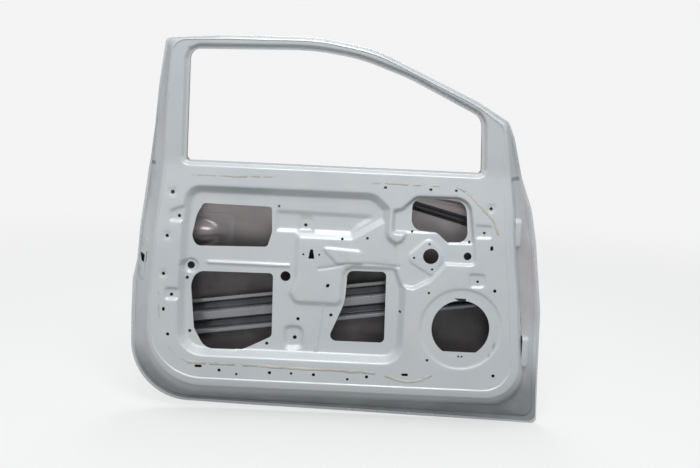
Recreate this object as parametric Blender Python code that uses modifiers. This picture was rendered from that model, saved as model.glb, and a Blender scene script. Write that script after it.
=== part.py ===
"""Shell of a left front door of a three-door hatchback: bare pressings, hemmed and welded.

Metres, +Z up, +X towards the front of the car, +Y from the cabin to the street. Everything is
laid out with the window frame upright. At the end the frame is leaned into the cabin above the
belt line, and the door is moved so that the origin is the centre of the upper hinge pad's face.
Outlines are corners of x, z and corner radius in mm.
"""
import math

import bmesh
import bpy
from mathutils import Matrix, Vector
from mathutils.geometry import delaunay_2d_cdt

MM = 0.001

# Sheet metal
SHEET = 0.8 * MM
BEAM_SHEET = 1.6 * MM
PLATE = 2.0 * MM
SEAT_GAP = 0.3 * MM
MASTIC_GAP = 0.8 * MM

# Section of the door, in depth from the trim face
TRIM_Y = -45 * MM
RIM_DROP = 2 * MM
BODY_DEPTH = 105 * MM
BODY_DROP = 30 * MM
BODY_CENTRE_Z = -120 * MM
BODY_HALF_HEIGHT = 430 * MM
FRAME_DEPTH = 40 * MM
FRAME_BLEND_Z = 120 * MM
FRAME_BLEND_HEIGHT = 300 * MM
CROWN = 12 * MM
CROWN_LOST_IN_FRAME = 0.6
CROWN_CENTRE_X = -520 * MM
CROWN_HALF_LENGTH = 660 * MM
LEDGE_STEP = 6 * MM
STEP_RUN = 1.5 * MM
HEM_SIDE_GAP = 0.8 * MM
HEM_RETURN_START = 0.3

# Reach of the cutting tools, to the cabin, to the street and into a floor
TOOL_FRONT_Y = -70 * MM
TOOL_BACK_Y = 170 * MM
TOOL_SINK = 12 * MM

# Belt line and lean of the window frame
BELT_Z = 190 * MM
LEAN = math.radians(12)

# Hinge pads: bosses on the front wall, their faces square to the car
UPPER_HINGE = Vector((14, 18, 20)) * MM
LOWER_HINGE = Vector((60, 13, -342)) * MM
UPPER_PAD = (38 * MM, 82 * MM)
LOWER_PAD = (32 * MM, 92 * MM)
PAD_CORNER = 12
PAD_RUN = 5 * MM
PAD_SINK = 28 * MM
PAD_PLATE_INSET = 3 * MM
HINGE_BOLT_PITCH = 46 * MM
HINGE_BOLT_HOLE = 5.5 * MM
HINGE_NUT = (9 * MM, 9 * MM)

# Latch seat on the rear wall and check strap slot on the front wall
LATCH_Z = -106 * MM
LATCH_SHARE = 0.6
LATCH_SEAT = (62 * MM, 132 * MM)
LATCH_MOUTH = (50 * MM, 24 * MM)
LATCH_BOLT_PITCH = 76 * MM
LATCH_BOLT_HOLE = 3.5 * MM
CHECK_Z = -246 * MM
CHECK_SHARE = 0.66
CHECK_SEAT = (38 * MM, 66 * MM)
CHECK_SLOT = (12 * MM, 22 * MM)
CHECK_BOLT_PITCH = 42 * MM
CHECK_BOLT_HOLE = 4.5 * MM
CHECK_NUT = (7 * MM, 7 * MM)
SEAT_RISE = 1.5 * MM

# Rings of the inner pressing from the trim face out to the hem, clockwise seen from the cabin,
# from the lower rear corner. The rings have the same corners in the same order.
RING_STEPS = (7, 2, 2, 2, 2, 2, 1, 1, 4, 2, 3, 3, 3, 4, 2, 2, 2, 2, 2, 5, 1, 1)
TRIM_CREASE = (
    (-1075, -450, 155), (-1075, -230, 200), (-1071, -155, 150), (-1066, -100, 150),
    (-1058, 0, 300), (-1034, 165, 40), (-1031, 300, 300), (-1021, 420, 300), (-1008, 538, 45),
    (-862, 546, 400), (-603, 551, 600), (-447, 524.5, 400), (-152, 392, 300), (-72, 336, 45),
    (-66, 300, 60), (-58, 190, 60), (-48, 100, 200), (-40, 0, 200), (-14, -200, 300),
    (10, -450, 80), (-250, -451, 600), (-800, -451, 600))
RIM_EDGE = (
    (-1086, -476, 165), (-1086, -230, 200), (-1080, -155, 150), (-1076, -100, 150),
    (-1067, 0, 300), (-1047, 165, 40), (-1038, 300, 300), (-1028, 420, 300), (-1014, 541, 42),
    (-863, 549, 400), (-602, 554, 600), (-446, 527, 400), (-150, 395, 300), (-62, 341, 40),
    (-55, 300, 60), (-36, 190, 60), (-22, 100, 200), (-14, 0, 200), (13, -200, 300),
    (36, -476, 95), (-250, -477, 600), (-800, -477, 600))
WALL_FOOT = (
    (-1106, -513, 175), (-1102, -236, 200), (-1097, -160, 150), (-1093, -105, 150),
    (-1083, -4, 300), (-1063, 162, 40), (-1050, 298, 300), (-1036, 420, 300), (-1020, 541, 32),
    (-863, 551, 400), (-602, 556, 600), (-446, 529, 400), (-149, 396.5, 300), (-59, 343, 34),
    (-44, 300, 40), (-20, 184, 60), (-2, 91, 200), (8, -12, 200), (35, -217, 300),
    (65, -519, 100), (-250, -518, 600), (-800, -516, 600))
LEDGE_EDGE = (
    (-1138, -533, 182), (-1141, -273, 200), (-1138, -176, 80), (-1130, -119, 80),
    (-1121, -15, 300), (-1095, 156, 100), (-1069, 297, 300), (-1049, 420, 300),
    (-1027, 541, 22), (-864, 552.5, 400), (-602, 557.5, 600), (-445, 530.5, 400),
    (-148, 398, 300), (-57, 344, 30), (-37, 300, 20), (-4, 183, 60), (31, 89, 200),
    (55, -15, 200), (78, -222, 300), (90, -548, 28), (-250, -547, 600), (-800, -541, 600))
HEM_EDGE = (
    (-1150, -547, 186), (-1154, -285, 200), (-1152, -180, 60), (-1139, -120, 60),
    (-1131, -16, 300), (-1106, 156, 100), (-1076, 297, 300), (-1058, 420, 300),
    (-1036, 545, 16), (-865, 559, 400), (-600, 564, 600), (-443, 537, 400), (-144, 404, 300),
    (-50, 350, 26), (-28, 305, 12), (12, 182, 60), (50, 88, 200), (72, -16, 200),
    (100, -224, 300), (106, -572, 16), (-250, -568, 600), (-800, -558, 600))
# Depth of the wall's foot below the trim face at each corner, in mm
WALL_DEPTH = (45, 25, 25, 25, 25, 25, 24, 22, 20, 22, 24, 24, 22, 22, 30, 58, 72, 75, 75, 60,
              56, 50)

# Window: the glass opening, its flange, the wall down to it, and the skin's edge behind it
WINDOW = (
    (-980, 200, 6), (-963, 516, 28), (-619, 527, 700), (-484, 508, 500), (-346, 460, 500),
    (-133, 359, 48), (-119, 200, 8))
WINDOW_FLANGE = 8 * MM
WINDOW_WALL = 6 * MM
WINDOW_DEPTH = 12 * MM
SKIN_WINDOW_SETBACK = 8 * MM
CHANNEL_LIP = 1.5 * MM
CHANNEL_BASE = 13 * MM
CHANNEL_WIDTH = 18 * MM
CHANNEL_END_Z = 150

# Pressed floors of the inner panel, as depths below the trim face
WEB = 25 * MM
VALLEY = 32 * MM
POOL = 36 * MM
BRIDGE = 15 * MM
MOTOR = 11 * MM
MOTOR_SEAT = 7 * MM
SHELF = 8 * MM
CRANK_SEAT = 10 * MM
SPEAKER_SEAT = 4 * MM
DIMPLE = 2.5 * MM

# Pressed in: name, outline, depth of its mouth, depth of its floor, run of its wall
POCKETS = (
    ("web", ((-978, 127, 50), (-425, 127, 60), (-378, 84, 15), (-380, 0, 20), (-345, -20, 20),
             (-345, -85, 20), (-320, -150, 15), (-320, -386, 60), (-998, -386, 80),
             (-999, -200, 60), (-990, 20, 200)), 0, WEB, 22 * MM),
    ("bridge", ((-372, 84, 10), (-350, 84, 20), (-306, 125, 25), (-146, 127, 50),
                (-124, -16, 10), (-207, -18, 8), (-240, 10, 15), (-330, 8, 12),
                (-372, 10, 8)), 0, BRIDGE, 8 * MM),
    ("shelf", ((-221, -5, 4), (-126, -5, 6), (-117, -76, 15), (-221, -76, 4)),
     0, SHELF, 6 * MM),
    ("motor", ((-330, 22, 6), (-236, 24, 15), (-207, -4, 8), (-207, -76, 8), (-250, -128, 25),
               (-300, -155, 15), (-336, -150, 12), (-366, -85, 20), (-366, -20, 10),
               (-342, -8, 10)), 0, MOTOR, 8 * MM),
    ("mirror_seat", ((-130, 48, 6), (-79, 48, 8), (-76, 8, 8), (-128, 6, 6)), 0, 5 * MM, 5 * MM),
    ("lamp_seat", ((-140, -98, 8), (-90, -98, 10), (-86, -140, 12), (-135, -142, 8)),
     0, 5 * MM, 5 * MM),
    ("lock_recess", ((-1036, -180, 10), (-984, -180, 3), (-984, -220, 3), (-1036, -220, 10)),
     0, 7 * MM, 7 * MM),
    ("pull_recess", ((-1026, 52, 8), (-966, 74, 5), (-966, 14, 5), (-1026, 16, 8)),
     0, 7 * MM, 8 * MM),
    ("valley", ((-717, 63, 10), (-406, 59, 8), (-470, 18, 15), (-488, -4, 8), (-717, -4, 10)),
     WEB, VALLEY, 12 * MM),
    ("pool", ((-650, 51, 18), (-601, 51, 18), (-601, 0, 3), (-650, 0, 3)),
     VALLEY, POOL, 11 * MM),
    ("basin", ((-682, -284, 20), (-619, -284, 20), (-615, -357, 15), (-682, -363, 20)),
     WEB, 35 * MM, 12 * MM),
)
# Raised: the same columns, with the depth of the floor it stands on
ISLANDS = (
    ("crank_field", ((-656, -4, 12), (-490, -4, 8), (-394, 57, 10), (-359, 57, 10),
                     (-344, -103, 8), (-500, -105, 20), (-505, -206, 10),
                     (-520, -221, 15), (-651, -221, 25), (-674, -186, 20), (-656, -135, 20)),
     WEB, BRIDGE, 14 * MM),
    ("crank_seat", ((-585, -38, 8), (-455, -45, 15), (-450, -91, 5), (-500, -93, 10),
                    (-530, -93, 10)), BRIDGE, CRANK_SEAT, 6 * MM),
    ("motor_seat", ((-261, 6, 18), (-207, -47, 40), (-242, -118, 14), (-317, -74, 14),
                    (-321, -50, 14)), MOTOR, MOTOR_SEAT, 5 * MM),
    ("long_rib", ((-916, -109, 4), (-916, -98, 4), (-666, -98, 4), (-666, -109, 4)),
     WEB, 20 * MM, 3 * MM),
    ("short_rib", ((-587, -363, 3), (-567, -175, 3), (-557, -175, 3), (-577, -363, 3)),
     WEB, 21 * MM, 3 * MM),
)
# Round seats: centre x, z, radius in mm, depth, run
ROUND_POCKETS = (
    ("speaker_seat", -152, -268, 124, SPEAKER_SEAT, 5 * MM),
    ("lock_dish", -962, -116, 33, 31 * MM, 13 * MM),
    ("dimple_a", -86, 97, 16, DIMPLE, 6 * MM),
    ("dimple_b", -1016, 104, 16, DIMPLE, 6 * MM),
    ("dimple_c", -1030, -26, 15, DIMPLE, 6 * MM),
    ("dimple_d", -1039, -140, 15, DIMPLE, 6 * MM),
)

# Openings in the inner panel
OPENINGS = (
    ((-929, 72, 12), (-727, 70, 10), (-724, -4, 60), (-737, -50, 12), (-949, -56, 22),
     (-961, -26, 30), (-948, 36, 80)),
    ((-944, -132, 35), (-717, -129, 12), (-715, -322, 15), (-798, -365, 40), (-916, -367, 40),
     (-949, -307, 40), (-961, -170, 60)),
    ((-496, -111, 18), (-381, -109, 14), (-377, -326, 14), (-548, -327, 18), (-500, -206, 150)),
    ((-315, 117, 28), (-158, 116, 40), (-146, -8, 28), (-207, -10, 10), (-239, 18, 25),
     (-315, 21, 35)),
)
SPEAKER = (-153, -267, 86)
SPEAKER_FLAT_Z = -338
SPEAKER_NOTCH = (-178, -142, -175)

# Slots: corners with radius
SLOTS = (
    ((-614, -78, 2), (-609, -50, 2), (-601, -50, 2), (-596, -78, 2)),
    ((-941, -421, 4), (-941, -413, 4), (-919, -413, 4), (-919, -421, 4)),
    ((-321, -419, 4), (-321, -411, 4), (-301, -411, 4), (-301, -419, 4)),
    ((-1041, -253, 4), (-1041, -241, 4), (-1033, -241, 4), (-1033, -253, 4)),
    ((-81, -27, 4), (-81, -13, 4), (-72, -13, 4), (-72, -27, 4)),
    ((-269.5, 139.5, 1), (-269.5, 148.5, 1), (-260.5, 148.5, 1), (-260.5, 139.5, 1)),
    ((-560, -163, 3), (-556, -152, 3), (-546, -151, 3), (-550, -162, 3)),
)
# Round holes: x, z, radius
HOLES = (
    (-253, -53, 23), (-145, -48, 11.5), (-680, -136, 15), (-962, -116, 11), (-259, -17, 3.5),
    (-302, -60, 3.5), (-247, -92, 3.5), (-1016, 104, 6), (-996, 34, 5), (-1030, -26, 5),
    (-1039, -140, 5), (-972, -153, 5), (-1015, -203, 5), (-1023, -323, 5), (-961, -316, 5),
    (-867, -427, 5), (-815, -437, 4), (-716, -428, 5), (-651, -427, 4), (-584, -428, 5),
    (-482, -437, 4), (-425, -427, 5), (-247, -367, 4), (-47, -406, 5), (-154, -352, 3),
    (-144, -352, 3), (-59, -147, 5), (-111, -122, 4), (-253, -162, 4), (-335, -226, 4),
    (-101, 24, 4), (-86, 97, 5), (-142, -6, 4), (-312, 18, 4), (-397, 144, 5), (-191, 145, 4),
    (-167, 146, 4), (-442, -9, 4), (-516, -15, 4), (-626, 19, 5), (-706, 73, 4),
    (-629, -66, 3), (-582, -65, 3), (-540, -248, 5), (-638, -264, 5), (-646, -324, 6),
    (-729, -344, 5),
)

# Handle pocket in the outer skin
HANDLE_CENTRE = Vector((-948, -30)) * MM
HANDLE_REACH = (78 * MM, 46 * MM)
HANDLE_DEPTH = 24 * MM
HANDLE_PLATE_MARGIN = (25 * MM, 17 * MM)
HANDLE_PLATE_CORNER = 14
HANDLE_PLATE_HOLE = 1.12
HANDLE_RINGS = (0.3, 0.55, 0.78, 1.0)
HANDLE_STEEPNESS = 1.4
HANDLE_CLEAR = 1.25
SKIN_STEP = 58 * MM
SKIN_FIELD_TOP = 103 * MM
SKIN_BELT_ROWS = (118, 140, 162, 182)

# Strips: stations of x, z in mm, sections of height across and lift off their seat in mm
BEAM_Y = 52 * MM
BEAM_LINE = ((-1060, -302), (-6, -148))
BEAM_SECTION = ((-54, 14), (-45, 14), (-37, 0), (-20, 0), (-11, 14), (11, 14), (20, 0), (37, 0),
                (45, 14), (54, 14))
BEAM_CHANNEL = 28.5
BELT_OUTER_LINE = ((-1000, 158), (-800, 156), (-600, 152), (-450, 142), (-293, 130), (-90, 98))
BELT_OUTER_SECTION = ((-28, 0), (-17, 0), (-10, 12), (12, 12), (18, 0), (28, 0))
BELT_INNER_LINE = ((-960, 154), (-160, 154))
BELT_INNER_SECTION = ((-22, 0), (-14, 0), (-9, 13), (9, 13), (14, 0), (22, 0))
BRACE_LINE = ((-312, 85), (-160, 46), (-30, 10))
BRACE_SECTION = ((-14, 0), (-8, 0), (-4, 7), (4, 7), (8, 0), (14, 0))
BRACKET_HALF_HEIGHT = 46 * MM
BRACKET_LAP = 36 * MM
BRACKET_GAP = 2.5 * MM
# Each bracket's start and end down its wall, as shares, and the reach of its bend past the beam
REAR_BRACKET = ((0.15, 0.72), 26)
FRONT_BRACKET = ((0.5, 0.9), 24)
# Mastic pads: x and which channel of the beam, upper 1 or lower -1; half width and half height
MASTIC_PADS = ((-900, 1), (-700, -1), (-480, 1), (-230, -1))
MASTIC_SIZE = (25, 8)

STEEL_PAINT = (0.62, 0.63, 0.70)
SMOOTH_ANGLE = math.radians(30)

# Steps in an arc at a corner, the share of an edge that its arcs may take, and the sides of a
# round hole or pocket by its least radius in mm
PRESS_STEPS = 2
CORNER_STEPS = ((45, 5), (0, PRESS_STEPS))
ARC_SHARE = 0.96
OPENING_STEPS = 3
HOLE_SIDES = ((20, 16), (6.5, 10), (0, 6))
POCKET_SIDES = ((60, 32), (20, 12), (0, 10))
DOME_SIDES = 16


def remove_objects():
    """Remove whatever the scene starts with."""
    for item in list(bpy.data.objects):
        bpy.data.objects.remove(item, do_unlink=True)


def make_collection(name):
    found = bpy.data.collections.new(name)
    bpy.context.scene.collection.children.link(found)
    return found


def make_paint(name, colour, roughness, metallic):
    paint = bpy.data.materials.new(name)
    paint.use_nodes = True
    shader = paint.node_tree.nodes["Principled BSDF"]
    shader.inputs["Base Color"].default_value = (*colour, 1)
    shader.inputs["Roughness"].default_value = roughness
    shader.inputs["Metallic"].default_value = metallic
    paint.diffuse_color = (*colour, 1)
    return paint


def smooth_step(t):
    t = min(max(t, 0), 1)
    return t * t * (3 - 2 * t)


# Surfaces of the door

def shell_depth(x, z):
    """Depth of the hem flange below the trim face: the curve of the body side."""
    body = BODY_DEPTH - BODY_DROP * ((z - BODY_CENTRE_Z) / BODY_HALF_HEIGHT) ** 2
    blend = smooth_step((z - FRAME_BLEND_Z) / FRAME_BLEND_HEIGHT)
    across = min(1, abs(x - CROWN_CENTRE_X) / CROWN_HALF_LENGTH)
    crown = CROWN * (1 - across ** 2) * (1 - CROWN_LOST_IN_FRAME * blend)
    return body + (FRAME_DEPTH - body) * blend + crown


def flange_y(x, z):
    return TRIM_Y + shell_depth(x, z)


def skin_y(x, z):
    """Middle of the outer skin, without its handle pocket."""
    return flange_y(x, z) + 1.5 * SHEET + SEAT_GAP


def handle_share(x, z):
    """How far a point is from the handle pocket's centre, 1 at the pocket's rim."""
    across, up = HANDLE_REACH
    return math.hypot((x - HANDLE_CENTRE.x) / across, (z - HANDLE_CENTRE.y) / up)


def skin_with_pocket(x, z):
    return skin_y(x, z) - HANDLE_DEPTH * smooth_step(HANDLE_STEEPNESS * (1 - handle_share(x, z)))


def skin_inside(x, z):
    return skin_y(x, z) - SHEET / 2 - MASTIC_GAP


# Outlines

def offset(corners, grow):
    """The outline moved out by grow metres, or in where grow is negative."""
    grow /= MM
    points = [Vector(corner[:2]) for corner in corners]
    count = len(points)
    area = sum(points[i].cross(points[(i + 1) % count]) for i in range(count))
    side = -1 if area > 0 else 1
    moved = []
    for i, (x, z, radius) in enumerate(corners):
        before = (points[i] - points[i - 1]).normalized()
        after = (points[(i + 1) % count] - points[i]).normalized()
        out = [Vector((-d.y, d.x)) * side for d in (before, after)]
        shift = (out[0] + out[1]) / (1 + out[0].dot(out[1])) * grow
        convex = before.cross(after) * side < 0
        moved.append((x + shift.x, z + shift.y, max(radius + (grow if convex else -grow), 1)))
    return tuple(moved)


def rounded(corners, steps):
    """The outline's points in metres, with an arc of the same count of steps at each corner."""
    count = len(corners)
    here = [Vector(corner[:2]) for corner in corners]
    edges = [here[(i + 1) % count] - here[i] for i in range(count)]
    half_turns = [edges[i - 1].angle(edges[i]) / 2 for i in range(count)]
    reaches = [corner[2] * math.tan(turn) for corner, turn in zip(corners, half_turns)]
    for i, edge in enumerate(edges):
        j = (i + 1) % count
        share = ARC_SHARE * edge.length / (reaches[i] + reaches[j])
        if share < 1:
            reaches[i], reaches[j] = reaches[i] * share, reaches[j] * share
    points = []
    for i in range(count):
        start = -edges[i - 1].normalized() * reaches[i]
        end = edges[i].normalized() * reaches[i]
        centre = (start + end).normalized() * reaches[i] / math.sin(half_turns[i])
        number = steps[i] if isinstance(steps, tuple) else steps
        sweep = (start - centre).angle_signed(end - centre)
        for k in range(number + 1):
            turned = start - centre
            turned.rotate(Matrix.Rotation(-sweep * k / number, 2))
            points.append((here[i] + centre + turned) * MM)
    return points


def circle(x, z, radius, count):
    """A round outline's points; x, z and radius in mm."""
    angles = [2 * math.pi * k / count for k in range(count)]
    return [Vector((x + radius * math.cos(a), z + radius * math.sin(a))) * MM for a in angles]


def sides_for(radius, table):
    return next(sides for least, sides in table if radius > least)


def handle_oval(share, count):
    """The handle pocket's oval, grown or shrunk by a share."""
    across, up = (share * size for size in HANDLE_REACH)
    turns = [2 * math.pi * k / count for k in range(count)]
    return [HANDLE_CENTRE + Vector((across * math.cos(a), up * math.sin(a))) for a in turns]


def speaker_outline():
    """The speaker cut-out: round, with a notch at the top and cut off straight at the bottom."""
    x, z, radius = SPEAKER
    left, right, notch_z = SPEAKER_NOTCH
    start = math.acos((right - x) / radius)
    span = math.asin((SPEAKER_FLAT_Z - z) / radius)
    arc = [start + (span - start) * k / 7 for k in range(8)]
    right_side = [(x + radius * math.cos(a), z + radius * math.sin(a)) for a in arc]
    left_side = [(2 * x - px, pz) for px, pz in reversed(right_side)]
    corners = [(right, notch_z)] + right_side + left_side + [(left, notch_z)]
    return [Vector(corner) * MM for corner in corners]


def at_depth(outline, y):
    return [Vector((p.x, y, p.y)) for p in outline]


def inside(outline, x, z):
    """Whether a point lies within an outline."""
    crossed = False
    for a, b in zip(outline, outline[1:] + outline[:1]):
        if (a.y > z) != (b.y > z) and x < a.x + (z - a.y) / (b.y - a.y) * (b.x - a.x):
            crossed = not crossed
    return crossed


def crossing(ring, z, side):
    """Where a ring passes the height z, on its front (side 1) or rear (side -1)."""
    found = []
    for a, b in zip(ring, ring[1:] + ring[:1]):
        if (a.z > z) != (b.z > z):
            found.append(a.lerp(b, (z - a.z) / (b.z - a.z)))
    return max(found, key=lambda p: side * p.x)


# Bodies

def finish(name, form, where, paint=None):
    mesh = bpy.data.meshes.new(name)
    form.to_mesh(mesh)
    form.free()
    made = bpy.data.objects.new(name, mesh)
    where.objects.link(made)
    if paint:
        mesh.materials.append(paint)
    return made


def add_tube(form, rings):
    """A closed body through rings of equal length, capped at both ends."""
    loops = [[form.verts.new(p) for p in ring] for ring in rings]
    count = len(loops[0])
    sides = []
    for lower, upper in zip(loops, loops[1:]):
        for i in range(count):
            j = (i + 1) % count
            sides.append(form.faces.new((lower[i], lower[j], upper[j], upper[i])))
    caps = [form.faces.new(loops[0]), form.faces.new(loops[-1])]
    split = bmesh.ops.triangulate(form, faces=sides)["faces"]
    bmesh.ops.recalc_face_normals(form, faces=split + caps)


def tube(name, rings, where, paint=None):
    form = bmesh.new()
    add_tube(form, rings)
    return finish(name, form, where, paint)


def strip_body(name, rows, thickness, where, paint):
    """A bent strip: rows of points made thick evenly on both sides."""
    form = bmesh.new()
    grid = [[form.verts.new(p) for p in row] for row in rows]
    for first, second in zip(grid, grid[1:]):
        for i in range(len(first) - 1):
            form.faces.new((first[i], first[i + 1], second[i + 1], second[i]))
    made = finish(name, form, where, paint)
    thicken(made, thickness, 0)
    return made


def thicken(item, thickness, side):
    wall = item.modifiers.new("thickness", "SOLIDIFY")
    wall.thickness = thickness
    wall.offset = side
    wall.use_even_offset = True
    wall.use_quality_normals = True
    apply_modifiers(item)


def apply_modifiers(item):
    """Replace the object's mesh by its evaluated one."""
    graph = bpy.context.evaluated_depsgraph_get()
    mesh = bpy.data.meshes.new_from_object(item.evaluated_get(graph))
    item.modifiers.clear()
    item.data = mesh


def combine(body, tools, operation):
    """Cut the tools from the body, or join them to it, one after another."""
    for tool in tools:
        tool.hide_render = True
        tool.display_type = "WIRE"
        change = body.modifiers.new(tool.name, "BOOLEAN")
        change.operation = operation
        change.object = tool
    apply_modifiers(body)


def corner_steps(corners):
    """Steps in each corner's arc, more of them where the corner is wide."""
    return tuple(sides_for(radius, CORNER_STEPS) for _, _, radius in corners)


def pocket(name, corners, mouth, floor, run, where):
    """A tool that presses in: its walls are drawn in by run from the mouth to the floor."""
    steps = corner_steps(corners)
    bottom, top = rounded(offset(corners, -run), steps), rounded(corners, steps)
    rings = (at_depth(bottom, TRIM_Y + floor), at_depth(top, TRIM_Y + mouth),
             at_depth(top, TOOL_FRONT_Y))
    return tube(name, rings, where)


def round_pocket(name, x, z, radius, floor, run, where):
    count = sides_for(radius, POCKET_SIDES)
    bottom = circle(x, z, radius - run / MM, count)
    top = circle(x, z, radius, count)
    rings = (at_depth(bottom, TRIM_Y + floor), at_depth(top, TRIM_Y), at_depth(top, TOOL_FRONT_Y))
    return tube(name, rings, where)


def island(name, corners, foot, crest, run, where):
    """A tool that stands on a floor, its walls drawn in by run up to its crest."""
    steps = corner_steps(corners)
    base, top = rounded(corners, steps), rounded(offset(corners, -run), steps)
    rings = (at_depth(top, TRIM_Y + crest), at_depth(base, TRIM_Y + foot),
             at_depth(base, TRIM_Y + foot + TOOL_SINK))
    return tube(name, rings, where)


def punches(name, outlines, where):
    """Holes through a sheet, as one tool."""
    form = bmesh.new()
    for outline in outlines:
        add_tube(form, (at_depth(outline, TOOL_FRONT_Y), at_depth(outline, TOOL_BACK_Y)))
    return finish(name, form, where)


# Places on the side walls. A place's x axis stands out of the wall and its z axis runs up it.

def place_at(centre):
    return Matrix.Translation(centre)


def wall_place(upper_ring, lower_ring, z, share, side):
    """A place on the wall between two rings, at height z, a share of the way down the wall."""
    def on_wall(height):
        top, foot = crossing(upper_ring, height, side), crossing(lower_ring, height, side)
        return top.lerp(foot, share), foot - top
    centre, down = on_wall(z)
    up = (on_wall(z + 40 * MM)[0] - on_wall(z - 40 * MM)[0]).normalized()
    across = (down - up * down.dot(up)).normalized() * side
    out = across.cross(up)
    return Matrix.Translation(centre) @ Matrix((out, across, up)).transposed().to_4x4()


def plate_corners(size, radius):
    width, height = (value / 2 / MM for value in size)
    return ((-width, -height, radius), (-width, height, radius), (width, height, radius),
            (width, -height, radius))


def placed(place, outline, height):
    return [place @ Vector((height, p.x, p.y)) for p in outline]


def seat(name, place, size, radius, rise, run, sink, where):
    """A flat seat that stands on a wall, its sides flared by run down to the wall."""
    corners = plate_corners(size, radius)
    face, foot = rounded(corners, PRESS_STEPS), rounded(offset(corners, run), PRESS_STEPS)
    rings = (placed(place, face, rise), placed(place, foot, rise - run * 3),
             placed(place, foot, -sink))
    return tube(name, rings, where)


def side_holes(name, place, outlines, reach, where):
    form = bmesh.new()
    for outline in outlines:
        add_tube(form, (placed(place, outline, reach), placed(place, outline, -reach)))
    return finish(name, form, where)


def wall_plate(name, place, size, radius, top, thickness, where, paint):
    """A flat plate behind a wall; top is the height of its face above the place."""
    outline = rounded(plate_corners(size, radius), PRESS_STEPS)
    rings = (placed(place, outline, top), placed(place, outline, top - thickness))
    return tube(name, rings, where, paint)


def weld_nuts(name, place, size, top, pitch, bore, where, paint):
    """Two weld nuts, one above the other, each with its bore."""
    radius, height = size
    for label, z in (("upper", pitch / 2), ("lower", -pitch / 2)):
        centre = place @ Matrix.Translation((0, 0, z))
        outside, hole = (circle(0, 0, r / MM, n) for r, n in ((radius, 6), (bore, 10)))
        nut = tube(f"{name}_{label}", (placed(centre, outside, top),
                                       placed(centre, outside, top - height)), where, paint)
        drill = side_holes(f"{name}_{label}_bore", centre, (hole,), 2 * PAD_SINK, TOOLS)
        combine(nut, (drill,), "DIFFERENCE")


# Inner panel

def perimeter():
    """The rings of the inner pressing, from the trim crease to the edge of the hem flange."""
    depths = [depth * MM for depth, n in zip(WALL_DEPTH, RING_STEPS) for _ in range(n + 1)]
    foot = [Vector((p.x, TRIM_Y + d, p.y)) for p, d in zip(rounded(WALL_FOOT, RING_STEPS), depths)]
    ledge = [Vector((p.x, flange_y(p.x, p.y) - LEDGE_STEP, p.y))
             for p in rounded(LEDGE_EDGE, RING_STEPS)]
    flange = [[Vector((p.x, flange_y(p.x, p.y), p.y)) for p in rounded(corners, RING_STEPS)]
              for corners in (offset(LEDGE_EDGE, STEP_RUN), offset(HEM_EDGE, -SHEET - HEM_SIDE_GAP))]
    crease = at_depth(rounded(TRIM_CREASE, RING_STEPS), TRIM_Y)
    rim = at_depth(rounded(RIM_EDGE, RING_STEPS), TRIM_Y + RIM_DROP)
    return [crease, rim, foot, ledge] + flange


def press_block(rings, paint):
    """The form the inner panel is drawn over. Its back and sides carry the second material."""
    back = [Vector((p.x, TOOL_BACK_Y, p.z)) for p in rings[-1]]
    block = tube("inner_panel", rings + [back], DOOR, paint)
    block.data.materials.append(make_paint("press_tool", STEEL_PAINT, 0.5, 0))
    for face in block.data.polygons:
        if max(block.data.vertices[v].co.y for v in face.vertices) > TOOL_BACK_Y - MM:
            face.material_index = 1
    return block


def keep_drawn_face(block):
    """Drop the block's back and sides, and leave the sheet drawn over it."""
    form = bmesh.new()
    form.from_mesh(block.data)
    waste = [face for face in form.faces if face.material_index == 1]
    bmesh.ops.delete(form, geom=waste, context="FACES")
    form.to_mesh(block.data)
    form.free()
    block.data.materials.pop(index=1)


def make_inner_panel(rings, places, paint):
    panel = press_block(rings, paint)
    window_mouth = offset(WINDOW, WINDOW_FLANGE + WINDOW_WALL)
    sinks = [pocket(name, *shape, TOOLS) for name, *shape in POCKETS]
    sinks.append(pocket("window_press", window_mouth, 0, WINDOW_DEPTH, WINDOW_WALL, TOOLS))
    sinks += [round_pocket(*shape, TOOLS) for shape in ROUND_POCKETS]
    combine(panel, sinks, "DIFFERENCE")
    rises = [island(name, *shape, TOOLS) for name, *shape in ISLANDS]
    for name, size in (("upper_hinge", UPPER_PAD), ("lower_hinge", LOWER_PAD)):
        rises.append(seat(name + "_pad", places[name], size, PAD_CORNER, 0, PAD_RUN, PAD_SINK, TOOLS))
    for name, size in (("latch", LATCH_SEAT), ("check_strap", CHECK_SEAT)):
        rises.append(seat(name + "_pad", places[name], size, PAD_CORNER, SEAT_RISE, MM, PAD_SINK,
                          TOOLS))
    combine(panel, rises, "UNION")
    keep_drawn_face(panel)
    thicken(panel, SHEET, -1)
    outlines = [rounded(corners, OPENING_STEPS) for corners in OPENINGS + (WINDOW,)]
    outlines += [rounded(corners, 1) for corners in SLOTS]
    outlines += [circle(x, z, r, sides_for(r, HOLE_SIDES)) for x, z, r in HOLES]
    outlines.append(speaker_outline())
    cuts = [punches("panel_holes", outlines, TOOLS)]
    cuts += [side_holes(f"{name}_holes", places[name], holes, PAD_SINK, TOOLS)
             for name, holes in wall_holes().items()]
    combine(panel, cuts, "DIFFERENCE")
    return panel


def wall_holes():
    """Holes in the side walls, in each seat's own plane."""
    def bolt_holes(pitch, radius):
        return [circle(0, z / MM, radius / MM, 10) for z in (-pitch / 2, pitch / 2)]
    hinge = bolt_holes(HINGE_BOLT_PITCH, HINGE_BOLT_HOLE)
    latch = bolt_holes(LATCH_BOLT_PITCH, LATCH_BOLT_HOLE)
    check = bolt_holes(CHECK_BOLT_PITCH, CHECK_BOLT_HOLE)
    return {
        "upper_hinge": hinge,
        "lower_hinge": hinge,
        "latch": latch + [rounded(plate_corners(LATCH_MOUTH, 6), PRESS_STEPS)],
        "check_strap": check + [rounded(plate_corners(CHECK_SLOT, 3), PRESS_STEPS)],
    }


# Outer skin

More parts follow.
